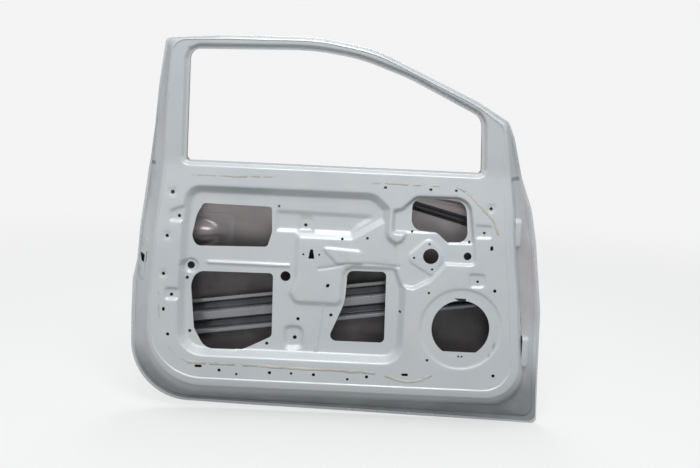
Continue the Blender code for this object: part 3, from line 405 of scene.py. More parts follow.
cutouts = {
    "window": ((-980, 200, 6), (-963, 516, 28), (-619, 527, 700), (-484, 508, 500), (-346, 460, 500),
               (-133, 359, 48), (-119, 200, 8)),
    "openings": (
        ((-929, 72, 12), (-727, 70, 10), (-724, -4, 60), (-737, -50, 12), (-949, -56, 22),
         (-961, -26, 30), (-948, 36, 80)),
        ((-944, -132, 35), (-717, -129, 12), (-715, -322, 15), (-798, -365, 40), (-916, -367, 40),
         (-949, -307, 40), (-961, -170, 60)),
        ((-496, -111, 18), (-381, -109, 14), (-377, -326, 14), (-548, -327, 18), (-500, -206, 150)),
        ((-315, 117, 28), (-158, 116, 40), (-146, -8, 28), (-207, -10, 10), (-239, 18, 25), (-315, 21, 35))),
    "slots": (
        ((-614, -78, 2), (-609, -50, 2), (-601, -50, 2), (-596, -78, 2)),
        ((-941, -421, 4), (-941, -413, 4), (-919, -413, 4), (-919, -421, 4)),
        ((-321, -419, 4), (-321, -411, 4), (-301, -411, 4), (-301, -419, 4)),
        ((-1041, -253, 4), (-1041, -241, 4), (-1033, -241, 4), (-1033, -253, 4)),
        ((-81, -27, 4), (-81, -13, 4), (-72, -13, 4), (-72, -27, 4)),
        ((-269.5, 139.5, 1), (-269.5, 148.5, 1), (-260.5, 148.5, 1), (-260.5, 139.5, 1)),
        ((-560, -163, 3), (-556, -152, 3), (-546, -151, 3), (-550, -162, 3))),
    "holes": (
        (-253, -53, 23), (-145, -48, 11.5), (-680, -136, 15), (-962, -116, 11), (-259, -17, 3.5),
        (-302, -60, 3.5), (-247, -92, 3.5), (-1016, 104, 6), (-996, 34, 5), (-1030, -26, 5),
        (-1039, -140, 5), (-972, -153, 5), (-1015, -203, 5), (-1023, -323, 5), (-961, -316, 5),
        (-867, -427, 5), (-815, -437, 4), (-716, -428, 5), (-651, -427, 4), (-584, -428, 5),
        (-482, -437, 4), (-425, -427, 5), (-247, -367, 4), (-47, -406, 5), (-154, -352, 3),
        (-144, -352, 3), (-59, -147, 5), (-111, -122, 4), (-253, -162, 4), (-335, -226, 4),
        (-101, 24, 4), (-86, 97, 5), (-142, -6, 4), (-312, 18, 4), (-397, 144, 5), (-191, 145, 4),
        (-167, 146, 4), (-442, -9, 4), (-516, -15, 4), (-626, 19, 5), (-706, 73, 4), (-629, -66, 3),
        (-582, -65, 3), (-540, -248, 5), (-638, -264, 5), (-646, -324, 6), (-729, -344, 5)),
    "speaker": {"centre": (-153, -267), "radius": 86, "flat": -338, "notch": (-178, -142, -175)},
}
# seats on the side walls: local outlines are across the wall and up it, from the seat's centre
hingeSeat = {"out": (1, 0, 0), "up": (0, 0, 1), "corner": 12, "rise": 0, "run": 5, "sink": 20, "bolts": (23, -23),
             "boltRadius": 5.5, "mouth": None}
raisedSeat = {"corner": 12, "rise": 1.5, "run": 1, "sink": 4}
wallSeats = (
    {**hingeSeat, "centre": (14, 18, 20), "size": (38, 82)},
    {**hingeSeat, "centre": (60, 13, -342), "size": (32, 92)},
    # the latch
    {**raisedSeat, "centre": (-1114.55, 25.37, -106.0), "out": (-0.90040, -0.42642, 0.08635),
     "up": (0.09658, -0.00239, 0.99532), "size": (62, 132), "bolts": (38, -38), "boltRadius": 3.5,
     "mouth": ((25, 12, 5), (-25, 12, 5), (-25, 2, 6), (-8, -12, 8), (25, -12, 5))},
    # the check strap
    {**raisedSeat, "centre": (30.72, 3.90, -246.0), "out": (0.95358, -0.28246, 0.10443),
     "up": (-0.09638, 0.04227, 0.99445), "size": (38, 66), "bolts": (21, -21), "boltRadius": 4.5,
     "mouth": ((6, 11, 3), (-6, 11, 3), (-6, -11, 3), (6, -11, 3))},
)


def smoothStep(t):
    t = np.clip(t, 0.0, 1.0)
    return t * t * (3 - 2 * t)


def flangeDepth(x, z):
    # the hem flange follows the curve of the body side
    s = doorSection
    body = s["body"] - s["bodyDrop"] * ((z - s["bodyCentre"]) / s["bodyHalf"]) ** 2
    blend = smoothStep((z - s["blendStart"]) / s["blendHeight"])
    across = np.minimum(1, np.abs(x - s["crownCentre"]) / s["crownHalf"])
    crown = s["crown"] * (1 - across ** 2) * (1 - s["crownLost"] * blend)
    return s["trim"] + body + (s["frame"] - body) * blend + crown


def leanAt(z):
    # how far the frame has leaned into the cabin at this height, rounded where it starts
    s = doorSection
    t = (np.asarray(z, float) - s["belt"]) / s["leanSoftness"]
    return s["leanSoftness"] * np.logaddexp(0, t) * math.tan(math.radians(s["lean"]))


def sharpLean(z):
    s = doorSection
    return np.maximum(np.asarray(z, float) - s["belt"], 0) * math.tan(math.radians(s["lean"]))


def toDoor(x, y, z):
    # a drawing position without its lean, to a place on the door in metres
    return Vector((x * mm - doorOrigin.x, (y - float(leanAt(z))) * mm - doorOrigin.y, z * mm - doorOrigin.z))


def grow(corners, amount):
    points = [Vector(corner[:2]) for corner in corners]
    count = len(points)
    area = sum(points[i].cross(points[(i + 1) % count]) for i in range(count))
    side = -1 if area > 0 else 1
    moved = []
    for i, (x, z, radius) in enumerate(corners):
        before = (points[i] - points[i - 1]).normalized()
        after = (points[(i + 1) % count] - points[i]).normalized()
        out = [Vector((-d.y, d.x)) * side for d in (before, after)]
        shift = (out[0] + out[1]) / (1 + out[0].dot(out[1])) * amount
        convex = before.cross(after) * side < 0
        moved.append((x + shift.x, z + shift.y, max(radius + (amount if convex else -amount), 1)))
    return tuple(moved)


def roundOutline(corners, steps):
    # corner arcs, each edge shared between the arcs at its two ends
    count = len(corners)
    here = [Vector(corner[:2]) for corner in corners]
    edges = [here[(i + 1) % count] - here[i] for i in range(count)]
    halfTurns = [edges[i - 1].angle(edges[i]) / 2 for i in range(count)]
    reaches = [corner[2] * math.tan(turn) for corner, turn in zip(corners, halfTurns)]
    for i, edge in enumerate(edges):
        j = (i + 1) % count
        share = 0.96 * edge.length / (reaches[i] + reaches[j])
        if share < 1:
            reaches[i], reaches[j] = reaches[i] * share, reaches[j] * share
    points = []
    for i in range(count):
        start = -edges[i - 1].normalized() * reaches[i]
        end = edges[i].normalized() * reaches[i]
        centre = (start + end).normalized() * reaches[i] / math.sin(halfTurns[i])
        number = steps[i] if isinstance(steps, tuple) else steps
        sweep = (start - centre).angle_signed(end - centre)
        for k in range(number + 1):
            turned = start - centre
            turned.rotate(Matrix.Rotation(-sweep * k / number, 2))
            points.append(here[i] + centre + turned)
    return points


def evenPoints(outline, step):
    # the same closed line with its long edges split
    spread = []
    for a, b in zip(outline, outline[1:] + outline[:1]):
        parts = max(1, math.ceil((b - a).length / step))
        spread += [a.lerp(b, k / parts) for k in range(parts)]
    return spread


def arcPoints(x, z, radius, turns):
    return [Vector((x + radius * math.cos(a), z + radius * math.sin(a))) for a in turns]


def circlePoints(x, z, radius, count):
    return arcPoints(x, z, radius, [2 * math.pi * k / count for k in range(count)])


def speakerPoints(speaker):
    x, z = speaker["centre"]
    left, right, notchZ = speaker["notch"]
    radius = speaker["radius"]
    start = math.acos((right - x) / radius)
    end = math.asin((speaker["flat"] - z) / radius)
    rightSide = arcPoints(x, z, radius, [start + (end - start) * k / 40 for k in range(41)])
    leftSide = [Vector((2 * x - p.x, p.y)) for p in reversed(rightSide)]
    return [Vector((right, notchZ))] + rightSide + leftSide + [Vector((left, notchZ))]


def panelHoleOutlines():
    loops = [evenPoints(roundOutline(cutouts["window"], 10), 5)]
    loops += [evenPoints(roundOutline(corners, 8), 4) for corners in cutouts["openings"]]
    loops += [roundOutline(corners, 3) for corners in cutouts["slots"]]
    loops += [circlePoints(x, z, r, 14 if r < 8 else 32) for x, z, r in cutouts["holes"]]
    loops.append(evenPoints(speakerPoints(cutouts["speaker"]), 4))
    return loops


def fineRing(outline):
    return roundOutline(outline, tuple(3 * n for n in ringSteps))


# the drawn sheets: the solid's face is read on a fine grid, softened and laid out again as one smooth sheet

def readFace(node, direction, step):
    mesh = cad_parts[node].data
    tree = BVHTree.FromPolygons([v.co for v in mesh.vertices], [tuple(p.vertices) for p in mesh.polygons])
    low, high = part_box(node)
    xs = np.arange(low.x - 4 * step, high.x + 4 * step, step)
    zs = np.arange(low.z - 4 * step, high.z + 4 * step, step)
    start = -direction
    depth = np.full((len(xs), len(zs)), np.nan)
    ray = Vector((0, direction, 0))
    for i, x in enumerate(xs):
        for k, z in enumerate(zs):
            hit = tree.ray_cast(Vector((x, start, z)), ray)[0]
            if hit:
                depth[i, k] = hit.y
    # back to drawing mm, with the lean taken out
    xs, zs = (xs + doorOrigin.x) / mm, (zs + doorOrigin.z) / mm
    return xs, zs, (depth + doorOrigin.y) / mm + sharpLean(zs)[None, :]


def evenOut(depth):
    # a ray that slipped between two faces leaves a single wrong depth, which takes its neighbours' level
    noise = 0.12  # mm
    shifts = [(a, b) for a in (-1, 0, 1) for b in (-1, 0, 1) if a or b]
    near = np.stack([np.roll(depth, shift, axis=(0, 1)) for shift in shifts])
    ordered = np.sort(near, axis=0)
    level, spread = np.median(near, axis=0), ordered[-2] - ordered[1]
    wrong = (np.abs(depth - level) > noise) & (spread < noise)
    depth[wrong] = level[wrong]
    return depth


def blur(values, cells):
    reach = max(1, math.ceil(cells * 3))
    taps = np.exp(-0.5 * (np.arange(-reach, reach + 1) / cells) ** 2)
    taps /= taps.sum()
    for axis in (0, 1):
        padded = np.pad(values, [(reach, reach) if a == axis else (0, 0) for a in (0, 1)], mode="edge")
        size = values.shape[axis]
        values = sum(tap * np.take(padded, range(n, n + size), axis=axis) for n, tap in enumerate(taps))
    return values


def fillGaps(depth):
    known = ~np.isnan(depth)
    filled = np.where(known, depth, 0.0)
    for cells in (1, 3, 8, 20, 60):
        weight = blur(known.astype(float), cells)
        value = blur(np.where(known, filled, 0.0), cells) / np.maximum(weight, 1e-9)
        reachable = ~known & (weight > 0.02)
        filled[reachable] = value[reachable]
        known |= reachable
    filled[~known] = np.nanmean(depth)
    return filled


def lookUp(grid, points):
    xs, zs, depth = grid
    u = np.clip((points[:, 0] - xs[0]) / (xs[1] - xs[0]), 0, len(xs) - 1.001)
    v = np.clip((points[:, 1] - zs[0]) / (zs[1] - zs[0]), 0, len(zs) - 1.001)
    i, k = u.astype(int), v.astype(int)
    fu, fv = u - i, v - k
    return (depth[i, k] * (1 - fu) * (1 - fv) + depth[i + 1, k] * fu * (1 - fv)
            + depth[i, k + 1] * (1 - fu) * fv + depth[i + 1, k + 1] * fu * fv)


def insideLoop(loop, x, z):
    crossed = np.zeros(np.shape(x), bool)
    for a, b in zip(loop, loop[1:] + loop[:1]):
        if a.y != b.y:
            spans = (a.y > z) != (b.y > z)
            crossed ^= spans & (x < a.x + (z - a.y) / (b.y - a.y) * (b.x - a.x))
    return crossed


def gridPoints(grid, levels):
    # close points where the sheet bends, wide ones where it is flat; bends are in parts of a mm over 2.5 mm
    xs, zs, depth = grid
    step = xs[1] - xs[0]
    bend = np.abs(np.diff(depth, 2, axis=0, prepend=depth[:1], append=depth[-1:]))
    bend += np.abs(np.diff(depth, 2, axis=1, prepend=depth[:, :1], append=depth[:, -1:]))
    bend = np.maximum(bend, blur(bend, 1.2))
    chosen = []
    for stride, least, most in levels:
        value = bend[::stride, ::stride]
        rows, columns = np.nonzero((value >= least) & (value < most))
        chosen.append((np.stack([xs[rows * stride], zs[columns * stride]], 1), stride * step))
    return chosen


def addFaces(form, verts, corners, spots, facing):
    # triangles wound so that they face the cabin (-1) or the street (1)
    for a, b, c in corners:
        turn = np.cross(spots[b] - spots[a], spots[c] - spots[a])
        form.faces.new((verts[a], verts[b], verts[c]) if turn * facing < 0 else (verts[a], verts[c], verts[b]))


def isOpen(outline, holes, spots):
    # which spots lie inside the outline and outside its holes
    keep = insideLoop(outline, spots[:, 0], spots[:, 1])
    for hole in holes:
        keep &= ~insideLoop(hole, spots[:, 0], spots[:, 1])
    return keep


def fillOutline(outline, holes, inner):
    # triangles between an outline and its holes, through the inner points
    flat, edges = [], []
    for loop in [outline] + holes:
        first = len(flat)
        edges += [(first + i, first + (i + 1) % len(loop)) for i in range(len(loop))]
        flat += loop
    points, _, faces, origins, _, _ = delaunay_2d_cdt(flat + inner, edges, [], 0, 1e-5)
    spots, corners = np.array([(p.x, p.y) for p in points]), np.array(faces)
    return spots, corners[isOpen(outline, holes, spots[corners].mean(axis=1))], origins


def addSheet(form, grid, outline, holes, levels, facing, edgeDepth=None):
    # faces that fill an outline round its holes; edgeDepth gives the outline's own depths
    flat = sum(holes, list(outline))
    near = KDTree(len(flat))
    for i, p in enumerate(flat):
        near.insert((p.x, p.y, 0), i)
    near.balance()
    inner = []
    for points, spacing in gridPoints(grid, levels):
        gap = min(0.45 * spacing, 2.0)
        for x, z in points[isOpen(outline, holes, points)]:
            if near.find((x, z, 0))[2] > gap:
                inner.append(Vector((x, z)))
    spots, corners, origins = fillOutline(outline, holes, inner)
    depths = lookUp(grid, spots)
    if edgeDepth is not None:
        for i, origin in enumerate(origins):
            if origin and min(origin) < len(outline):
                depths[i] = edgeDepth
    verts = [form.verts.new(toDoor(x, y, z)) for (x, z), y in zip(spots, depths)]
    addFaces(form, verts, corners, spots, facing)
    bmesh.ops.delete(form, geom=[v for v in verts if not v.link_faces], context="VERTS")


def pairedStations(rings, step):
    # the same stations on every ring, close enough together on the longest one
    count = len(rings[0])
    stations = []
    for i in range(count):
        j = (i + 1) % count
        longest = max((ring[j] - ring[i]).length for ring in rings)
        parts = max(1, math.ceil(longest / step))
        stations += [[ring[i].lerp(ring[j], k / parts) for ring in rings] for k in range(parts)]
    return stations


def softProfile(points, reaches, steps):
    # a line of points with each inner corner rounded by its reach
    line = [points[0]]
    for i in range(1, len(points) - 1):
        before, after = points[i - 1] - points[i], points[i + 1] - points[i]
        reach = min(reaches[i], 0.45 * before.length, 0.45 * after.length)
        start, end = points[i] + before.normalized() * reach, points[i] + after.normalized() * reach
        for k in range(steps + 1):
            t = k / steps
            line.append(start * (1 - t) ** 2 + points[i] * 2 * t * (1 - t) + end * t ** 2)
    line.append(points[-1])
    return line


def addBand(form, lines, facing):
    # a closed band of faces through the lines; its first face looks the way given
    rows = [[form.verts.new(p) for p in line] for line in lines]
    made = []
    for first, second in zip(rows, rows[1:] + rows[:1]):
        for i in range(len(first) - 1):
            made.append(form.faces.new((first[i], first[i + 1], second[i + 1], second[i])))
    starts = made[::len(lines[0]) - 1]
    for face in starts:
        face.normal_update()
    if sum((face.normal * face.calc_area() for face in starts), Vector()).dot(facing) < 0:
        bmesh.ops.reverse_faces(form, faces=made)
    return made


def applyModifiers(item):
    graph = bpy.context.evaluated_depsgraph_get()
    mesh = bpy.data.meshes.new_from_object(item.evaluated_get(graph))
    item.modifiers.clear()
    item.data = mesh


def claim(item, node):
    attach(item, "root")
    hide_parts(node)


def markCreases(form):
    # how hollow the sheet is at each vertex, for the painted shade in its corners and the painted highlight on its
    # ridges
    layer = form.verts.layers.float.new("crease")
    form.normal_update()
    form.verts.index_update()
    verts = list(form.verts)
    leastReach = 1.5 * mm
    hollow = np.zeros(len(verts))
    for v in verts:
        arms = [edge.other_vert(v).co - v.co for edge in v.link_edges]
        reach = max(sum(arm.length for arm in arms) / max(1, len(arms)), leastReach)
        hollow[v.index] = sum(v.normal.dot(arm) for arm in arms) / max(1, len(arms)) / reach
    for _ in range(2):
        near = [[hollow[edge.other_vert(v).index] for edge in v.link_edges] for v in verts]
        hollow = np.array([0.5 * hollow[i] + 0.5 * sum(n) / max(1, len(n)) for i, n in enumerate(near)])
    for v in verts:
        v[layer] = float(hollow[v.index])


def finishSheet(form, name, node, finish, thickness, sharp=50, worn=True):
    bmesh.ops.remove_doubles(form, verts=form.verts, dist=2e-5)
    # the crease marks carry the painted shade in corners and the painted highlight on ridges
    if worn:
        markCreases(form)
    made = makeObject(form, name)
    wall = made.modifiers.new("sheet", "SOLIDIFY")
    wall.thickness = thickness
    wall.offset = -1
    wall.material_offset = 1
    # paint on the seen face, thin primer on the one inside the door
    for look in (finish, "cavityPaint"):
        made.data.materials.append(finishes[look])
    applyModifiers(made)
    made.data.shade_smooth()
    made.data.set_sharp_from_angle(angle=math.radians(sharp))
    print(name, "faces:", len(made.data.polygons))
    claim(made, node)


panelSheet = {
    "step": 2.5, "softness": 0.9, "thickness": 0.8, "bandStep": 7.0, "beadHeight": 3.0, "beadReach": 4.0,
    # the bead's and the seam's most shares of the rim, the rim's rise, and mm to the ledge's step and the hem
    "beadShare": 0.42, "seamShare": 0.02, "rimRise": 0.8, "ledgeGap": 1.5, "hemInset": 1.6,
    "levels": ((1, 0.42, 1e9), (2, 0.09, 0.42), (4, 0.015, 0.09), (8, 0.0, 0.015)),
    # rounding at the crease, the bead, the rim, the foot of the wall, the ledge and its step
    "rounding": (0, 0.8, 2.0, 3.0, 5.0, 1.8, 1.8, 0),
}


def perimeterLines(settings):
    s = doorSection
    rings = [fineRing(ring) for ring in
             (trimCrease, rimEdge, wallFoot, ledgeEdge, grow(ledgeEdge, settings["ledgeGap"]),
              grow(hemEdge, -settings["hemInset"]))]
    depths = [depth for depth, n in zip(wallDepth, ringSteps) for _ in range(3 * n + 1)]
    rings.append([Vector((depth, 0)) for depth in depths])
    lines, crease = [], []
    for start, rim, foot, ledge, step, hem, depth in pairedStations(rings, settings["bandStep"]):
        crease.append(start)
        across = rim - start
        bead = start + across * min(settings["beadShare"], settings["beadReach"] / across.length)
        along = start + across * settings["seamShare"]
        profile = [(start, s["trim"]), (along, s["trim"]), (bead, s["trim"] - settings["beadHeight"]),
                   (rim, s["trim"] + s["rimDrop"] - settings["rimRise"]), (foot, s["trim"] + depth.x),
                   (ledge, flangeDepth(*ledge) - s["ledgeStep"]), (step, flangeDepth(*step)),
                   (hem, flangeDepth(*hem))]
        profile = softProfile([Vector((p.x, y, p.y)) for p, y in profile], settings["rounding"], 3)
        lines.append([toDoor(*p) for p in profile])
    return lines, crease


def seatPlace(seat):
    out, up = Vector(seat["out"]).normalized(), Vector(seat["up"]).normalized()
    return Matrix.Translation(seat["centre"]) @ Matrix((out, up.cross(out), up)).transposed().to_4x4()


def seatCorners(seat, growth=0.0):
    width, height = seat["size"][0] / 2 + growth, seat["size"][1] / 2 + growth
    radius = max(1, seat["corner"] + growth)
    return ((-width, -height, radius), (-width, height, radius), (width, height, radius), (width, -height, radius))


def addWallSeat(form, seat):
    # a flat face with its holes, and sides that flare down to the wall
    place = seatPlace(seat)

    def spot(across, up, height):
        return toDoor(*(place @ Vector((height, across, up))))

    outline = roundOutline(seatCorners(seat), 6)
    holes = [circlePoints(0, z, seat["boltRadius"], 24) for z in seat["bolts"]]
    if seat["mouth"]:
        holes.append(roundOutline(seat["mouth"], 5))
    spots, corners, _ = fillOutline(outline, holes, [])
    verts = [form.verts.new(spot(*p, seat["rise"])) for p in spots]
    addFaces(form, verts, corners, spots, -1)
    run, rise = seat["run"], seat["rise"]
    # how far each ring of the sides has spread, and its height
    sides = [(0.0, rise), (0.35 * run, rise - 0.25 * run), (run * 0.7, rise - run), (run, rise - 3 * run),
             (run, -seat["sink"])]
    rings = [roundOutline(seatCorners(seat, growth), 6) for growth, _ in sides]
    lines = [[spot(*ring[i], height) for ring, (_, height) in zip(rings, sides)] for i in range(len(outline))]
    addBand(form, lines, Vector(seat["out"]))


def clearUnderSeats(faces):
    # the wall's own faces under each seat's hollow or mouth
    low, high = -26, 4  # mm out from the seat's face
    under = []
    for seat in wallSeats:
        back = seatPlace(seat).inverted()
        edge = roundOutline(grow(seat["mouth"], 3) if seat["mouth"] else seatCorners(seat, -3), 3)
        for face in faces:
            centre = face.calc_center_median()
            drawn = (centre + doorOrigin) / mm
            drawn.y += float(leanAt(drawn.z))
            local = back @ drawn
            if low < local.x < high and insideLoop(edge, np.array([local.y]), np.array([local.z]))[0]:
                under.append(face)
    return under


def makeInnerPanel(settings):
    lines, crease = perimeterLines(settings)
    xs, zs, depth = readFace("inner_panel", 1, settings["step"] * mm)
    columns, rows = np.meshgrid(xs, zs, indexing="ij")
    within = insideLoop(roundOutline(grow(trimCrease, -1), ringSteps), columns, rows)
    depth[~within] = np.nan
    depth = evenOut(evenOut(fillGaps(depth)))
    addPressedDetail(depth, columns, rows)
    grid = (xs, zs, blur(depth, settings["softness"]))
    form = bmesh.new()
    addSheet(form, grid, crease, panelHoleOutlines(), settings["levels"], -1, doorSection["trim"])
    band = addBand(form, lines, Vector((0, -1, 0)))
    bmesh.ops.delete(form, geom=list(set(clearUnderSeats(band))), context="FACES")
    for seat in wallSeats:
        addWallSeat(form, seat)
    finishSheet(form, "innerPanel", "inner_panel", "shellPaint", settings["thickness"] * mm)


def lineDistance(points, columns, rows):
    # distance from a broken line, in mm
    nearest = np.full(columns.shape, 1e9)
    for (ax, az), (bx, bz) in zip(points, points[1:]):
        length = (bx - ax) ** 2 + (bz - az) ** 2
        t = np.clip(((columns - ax) * (bx - ax) + (rows - az) * (bz - az)) / length, 0, 1)
        nearest = np.minimum(nearest, np.hypot(columns - ax - t * (bx - ax), rows - az - t * (bz - az)))
    return nearest


pressedDetail = {
    # line, half width and depth in mm, deeper is positive
    "beads": (
        (((-582, -108), (-540, -100), (-500, -88), (-420, -87), (-345, -90)), 5.5, 4.0),
    ),
    # rings pressed round clip holes: x, z, inner radius, outer radius, depth
    "rings": ((-626, 19, 8, 13, 0.7), (-540, -248, 9, 15, 0.7), (-962, -116, 18, 23, -0.8)),
}


def addPressedDetail(depth, columns, rows):
    for line, halfWidth, drop in pressedDetail["beads"]:
        away = lineDistance(line, columns, rows)
        depth += drop * np.clip(1 - away / halfWidth, 0, 1)
    for x, z, inner, outer, drop in pressedDetail["rings"]:
        away = np.hypot(columns - x, rows - z)
        depth += drop * np.clip(np.minimum(away - inner, outer - away) / 2, 0, 1)


makeInnerPanel(panelSheet)
print("inner panel drawn")

skinSheet = {
    "step": 4.0, "softness": 1.6, "thickness": 0.8, "bandStep": 7.0, "hemWidth": 8.0,
    # the least gap from the panel's flange to the street side, and the solid's own facet error, in mm
    "leastStand": 2.5, "facetError": 2.0,
    # mm that the outlines are moved by: for reading, for the flange, round the window, to the fold and the lip
    "readInset": 6, "flangeInset": 12, "windowGap": 8, "foldInset": 1.2, "ledgeGap": 1.5, "lipShare": 0.7,
    # the fold's share of the way out to the hem, and its height over the street side
    "fold": ((0.0, 0.0), (0.7, 0.35), (1.0, 1.5), (0.7, 2.65), (0.0, 3.0)),
    "levels": ((1, 0.10, 1e9), (3, 0.03, 0.10), (6, 0.0, 0.03)),
}


def makeOuterSkin(settings):
    # the skin's outside face, folded round the panel's flange into the hem
    xs, zs, depth = readFace("outer_skin", -1, settings["step"] * mm)
    columns, rows = np.meshgrid(xs, zs, indexing="ij")
    # only what stands off the plain curve of the body side is read and softened
    curve = flangeDepth(columns, rows)
    depth[~insideLoop(roundOutline(grow(hemEdge, -settings["readInset"]), ringSteps), columns, rows)] = np.nan
    stand = max(float(np.nanmedian(depth - curve)), settings["leastStand"])
    raised = fillGaps(depth - curve) - stand
    raised = np.sign(raised) * np.maximum(np.abs(raised) - settings["facetError"], 0)
    # round the flange the skin never comes nearer than the plain curve
    flange = ~insideLoop(roundOutline(grow(wallFoot, -settings["flangeInset"]), ringSteps), columns, rows)
    raised[flange] = np.maximum(raised[flange], 0)
    grid = (xs, zs, curve + stand + blur(raised, settings["softness"]))
    print("skin stands off the flange by", round(stand, 2), "mm")
    rings = [fineRing(ring) for ring in
             (grow(hemEdge, -settings["foldInset"]), hemEdge, grow(ledgeEdge, settings["ledgeGap"]))]
    stations = pairedStations(rings, settings["bandStep"])
    outline = [edge for edge, _, _ in stations]
    depths = lookUp(grid, np.array([(p.x, p.y) for p in outline]))
    form = bmesh.new()
    window = evenPoints(roundOutline(grow(cutouts["window"], settings["windowGap"]), 10), 6)
    addSheet(form, grid, outline, [window], settings["levels"], 1)
    lines = []
    for (edge, hem, step), y in zip(stations, depths):
        fold = [(edge.lerp(hem, share), lift) for share, lift in settings["fold"]]
        lipEnd = edge.lerp(step, min(settings["lipShare"], settings["hemWidth"] / (edge - step).length))
        fold.append((lipEnd, fold[-1][1]))
        lines.append([toDoor(p.x, y - lift, p.y) for p, lift in fold])
    addBand(form, lines, Vector((0, 1, 0)))
    finishSheet(form, "outerSkin", "outer_skin", "outsidePaint", settings["thickness"] * mm, 60, worn=False)


makeOuterSkin(skinSheet)
print("outer skin and hem drawn")


# traces of the sealer that held the water shield: points in drawing mm, a width and how broken they are

sealerTraces = {
    "lines": (
        ("BeltRear", ((-962, 157), (-900, 159), (-830, 158), (-770, 161), (-700, 161)), 5.5, 0.48),
        ("BeltMiddle", ((-500, 156), (-430, 157), (-370, 158), (-300, 157), (-240, 157)), 6.0, 0.50),
        ("FrontShoulder", ((-190, 158), (-150, 135), (-110, 95), (-75, 60), (-60, 20)), 7.0, 0.42),
        ("RearEdge", ((-1053, -195), (-1052, -240), (-1048, -285)), 4.0, 0.50),
        ("RearCorner", ((-1030, -340), (-1010, -372), (-985, -394), (-960, -405)), 4.0, 0.50),
        ("FootRear", ((-960, -405), (-880, -408), (-760, -407), (-640, -411), (-520, -410), (-400, -414)), 8.5, 0.38),
        ("FootFront", ((-370, -420), (-335, -431), (-300, -437), (-262, -430), (-230, -412)), 8.0, 0.36),
        ("SpeakerFront", ((-60, -190), (-48, -250), (-50, -310), (-66, -345)), 4.0, 0.55)),
    "height": 0.6, "wander": 3.0, "pitch": 1.5, "seed": 7, "flatness": 0.18,
}


def makeTraceTree():
    # a flat, uneven ribbon along a curve, broken where the noise is low
    tree = bpy.data.node_groups.new("sealerTrace", "GeometryNodeTree")
    tree.interface.new_socket("Geometry", in_out="INPUT", socket_type="NodeSocketGeometry")
    for name, value in (("Width", 0.005), ("Wander", 0.003), ("Pitch", 0.0015), ("Broken", 0.5), ("Seed", 7.0)):
        addInput(tree, name, "Float", value)
    addInput(tree, "Finish", "Material", finishes["sealer"])
    tree.interface.new_socket("Geometry", in_out="OUTPUT", socket_type="NodeSocketGeometry")
    given = tree.nodes.new("NodeGroupInput").outputs
    path = {"Curve": given["Geometry"], "Length": given["Pitch"]}
    curve = makeNode(tree, "GeometryNodeResampleCurve", path, mode="LENGTH").outputs[0]
    place = tree.nodes.new("GeometryNodeInputPosition").outputs[0]

    def noiseAt(scale, shift):
        sockets = {"Vector": place, "W": combine(tree, "ADD", given["Seed"], shift), "Scale": scale, "Detail": 2.0}
        return makeNode(tree, "ShaderNodeTexNoise", sockets, noise_dimensions="4D").outputs["Fac"]

    def times(first, second):
        return combine(tree, "MULTIPLY", first, second)

    drift = times(combine(tree, "SUBTRACT", noiseAt(26.0, 0.0), 0.5), given["Wander"])
    offset = makeNode(tree, "ShaderNodeCombineXYZ", {"Z": times(drift, 2.0), "X": drift}).outputs[0]
    moved = makeNode(tree, "GeometryNodeSetPosition", {"Geometry": curve, "Offset": offset}).outputs[0]
    swell = combine(tree, "ADD", 0.45, times(noiseAt(150.0, 3.0), 1.1))
    roundLook = {"Resolution": 8, "Radius": times(given["Width"], 0.5)}
    profile = makeNode(tree, "GeometryNodeCurvePrimitiveCircle", roundLook).outputs[0]
    sweep = {"Curve": moved, "Profile Curve": profile, "Scale": swell}
    ribbon = makeNode(tree, "GeometryNodeCurveToMesh", sweep).outputs[0]
    test = {0: noiseAt(34.0, 9.0), 1: given["Broken"]}
    gone = makeNode(tree, "FunctionNodeCompare", test, operation="LESS_THAN").outputs[0]
    cut = makeNode(tree, "GeometryNodeDeleteGeometry", {0: ribbon, "Selection": gone}, domain="FACE").outputs[0]
    whole = makeNode(tree, "GeometryNodeRealizeInstances", {0: cut}).outputs[0]
    painted = makeNode(tree, "GeometryNodeSetMaterial", {0: whole, "Material": given["Finish"]}).outputs[0]
    makeNode(tree, "NodeGroupOutput", {0: painted})
    return tree


def flatten(mesh, settings):
    # press the round ribbon against the panel's face, following its lean
    for v in mesh.vertices:
        z = v.co.z / mm + doorOrigin.z / mm
        surface = toDoor(0, doorSection["trim"], z).y
        v.co.y = surface - settings["height"] * mm * 0.5 + (v.co.y - surface) * settings["flatness"]
    mesh.update()


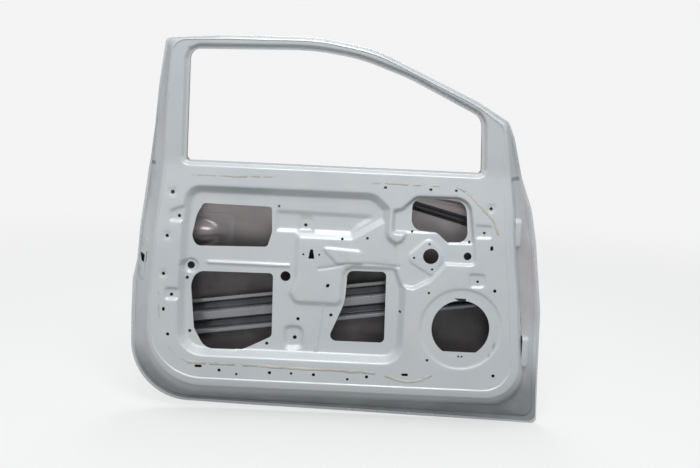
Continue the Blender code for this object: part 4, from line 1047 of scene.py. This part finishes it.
def layTraces(settings):
    tree = makeTraceTree()
    identifiers = {item.name: item.identifier for item in tree.interface.items_tree if item.in_out == "INPUT"}
    for name, line, width, broken in settings["lines"]:
        path = bpy.data.curves.new("trace" + name, "CURVE")
        path.dimensions = "3D"
        spline = path.splines.new("POLY")
        spline.points.add(len(line) - 1)
        for point, (x, z) in zip(spline.points, line):
            point.co = (*toDoor(x, doorSection["trim"], z), 1)
        ribbon = addToScene("trace" + name, path)
        nodes = ribbon.modifiers.new("sealer", "NODES")
        nodes.node_group = tree
        for key, value in (("Width", width * mm), ("Broken", broken),
                           ("Wander", settings["wander"] * mm), ("Pitch", settings["pitch"] * mm),
                           ("Seed", float(settings["seed"] + len(name)))):
            nodes[identifiers[key]] = value
        graph = bpy.context.evaluated_depsgraph_get()
        mesh = bpy.data.meshes.new_from_object(ribbon.evaluated_get(graph))
        bpy.data.objects.remove(ribbon)
        item = addToScene("trace" + name, mesh)
        flatten(mesh, settings)
        mesh.shade_smooth()
        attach(item, "root")
        print("trace" + name, "faces:", len(mesh.polygons))


layTraces(sealerTraces)
print("sealer traces laid")


# the other pressings keep their solids' shapes with merged, softened edges

softCopies = (
    # the finish, the radius of the softened edges in mm and the nodes
    ("cavityPaint", 0.0, ("glass_run_channel", "handle_reinforcement", "upper_hinge_reinforcement",
                          "lower_hinge_reinforcement", "check_strap_reinforcement", "latch_reinforcement")),
    ("cavityPaint", 2.0, ("belt_reinforcement_inner", "belt_reinforcement_outer")),
    ("beamPaint", 3.0, ("side_impact_beam",)),
    ("beamPaint", 2.0, ("beam_rear_bracket", "beam_front_bracket")),
    ("beamPaint", 1.5, ("front_brace",)),
)


def softCopy(node, finish, radius):
    form = bmesh.new()
    form.from_mesh(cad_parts[node].data)
    bmesh.ops.remove_doubles(form, verts=form.verts, dist=1e-6)
    bmesh.ops.dissolve_limit(form, angle_limit=math.radians(0.5), verts=form.verts, edges=form.edges)
    first, *others = node.split("_")
    item = makeObject(form, first + "".join(word.title() for word in others))
    if radius:
        edge = item.modifiers.new("bend", "BEVEL")
        edge.width = radius * mm
        edge.segments = 3
        edge.limit_method = "ANGLE"
        edge.angle_limit = math.radians(18)
        applyModifiers(item)
    form = bmesh.new()
    form.from_mesh(item.data)
    markCreases(form)
    form.to_mesh(item.data)
    form.free()
    item.data.shade_smooth()
    item.data.set_sharp_from_angle(angle=math.radians(35))
    paint(item, finish)
    claim(item, node)


def paint(item, finish):
    item.data.materials.clear()
    item.data.materials.append(finishes[finish])


for finish, radius, nodes in softCopies:
    for node in nodes:
        softCopy(node, finish, radius)
for node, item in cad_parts.items():
    paint(item, "nutZinc" if "nut" in node else "mastic" if "mastic" in node else "shellPaint")
print("pressings softened and painted")
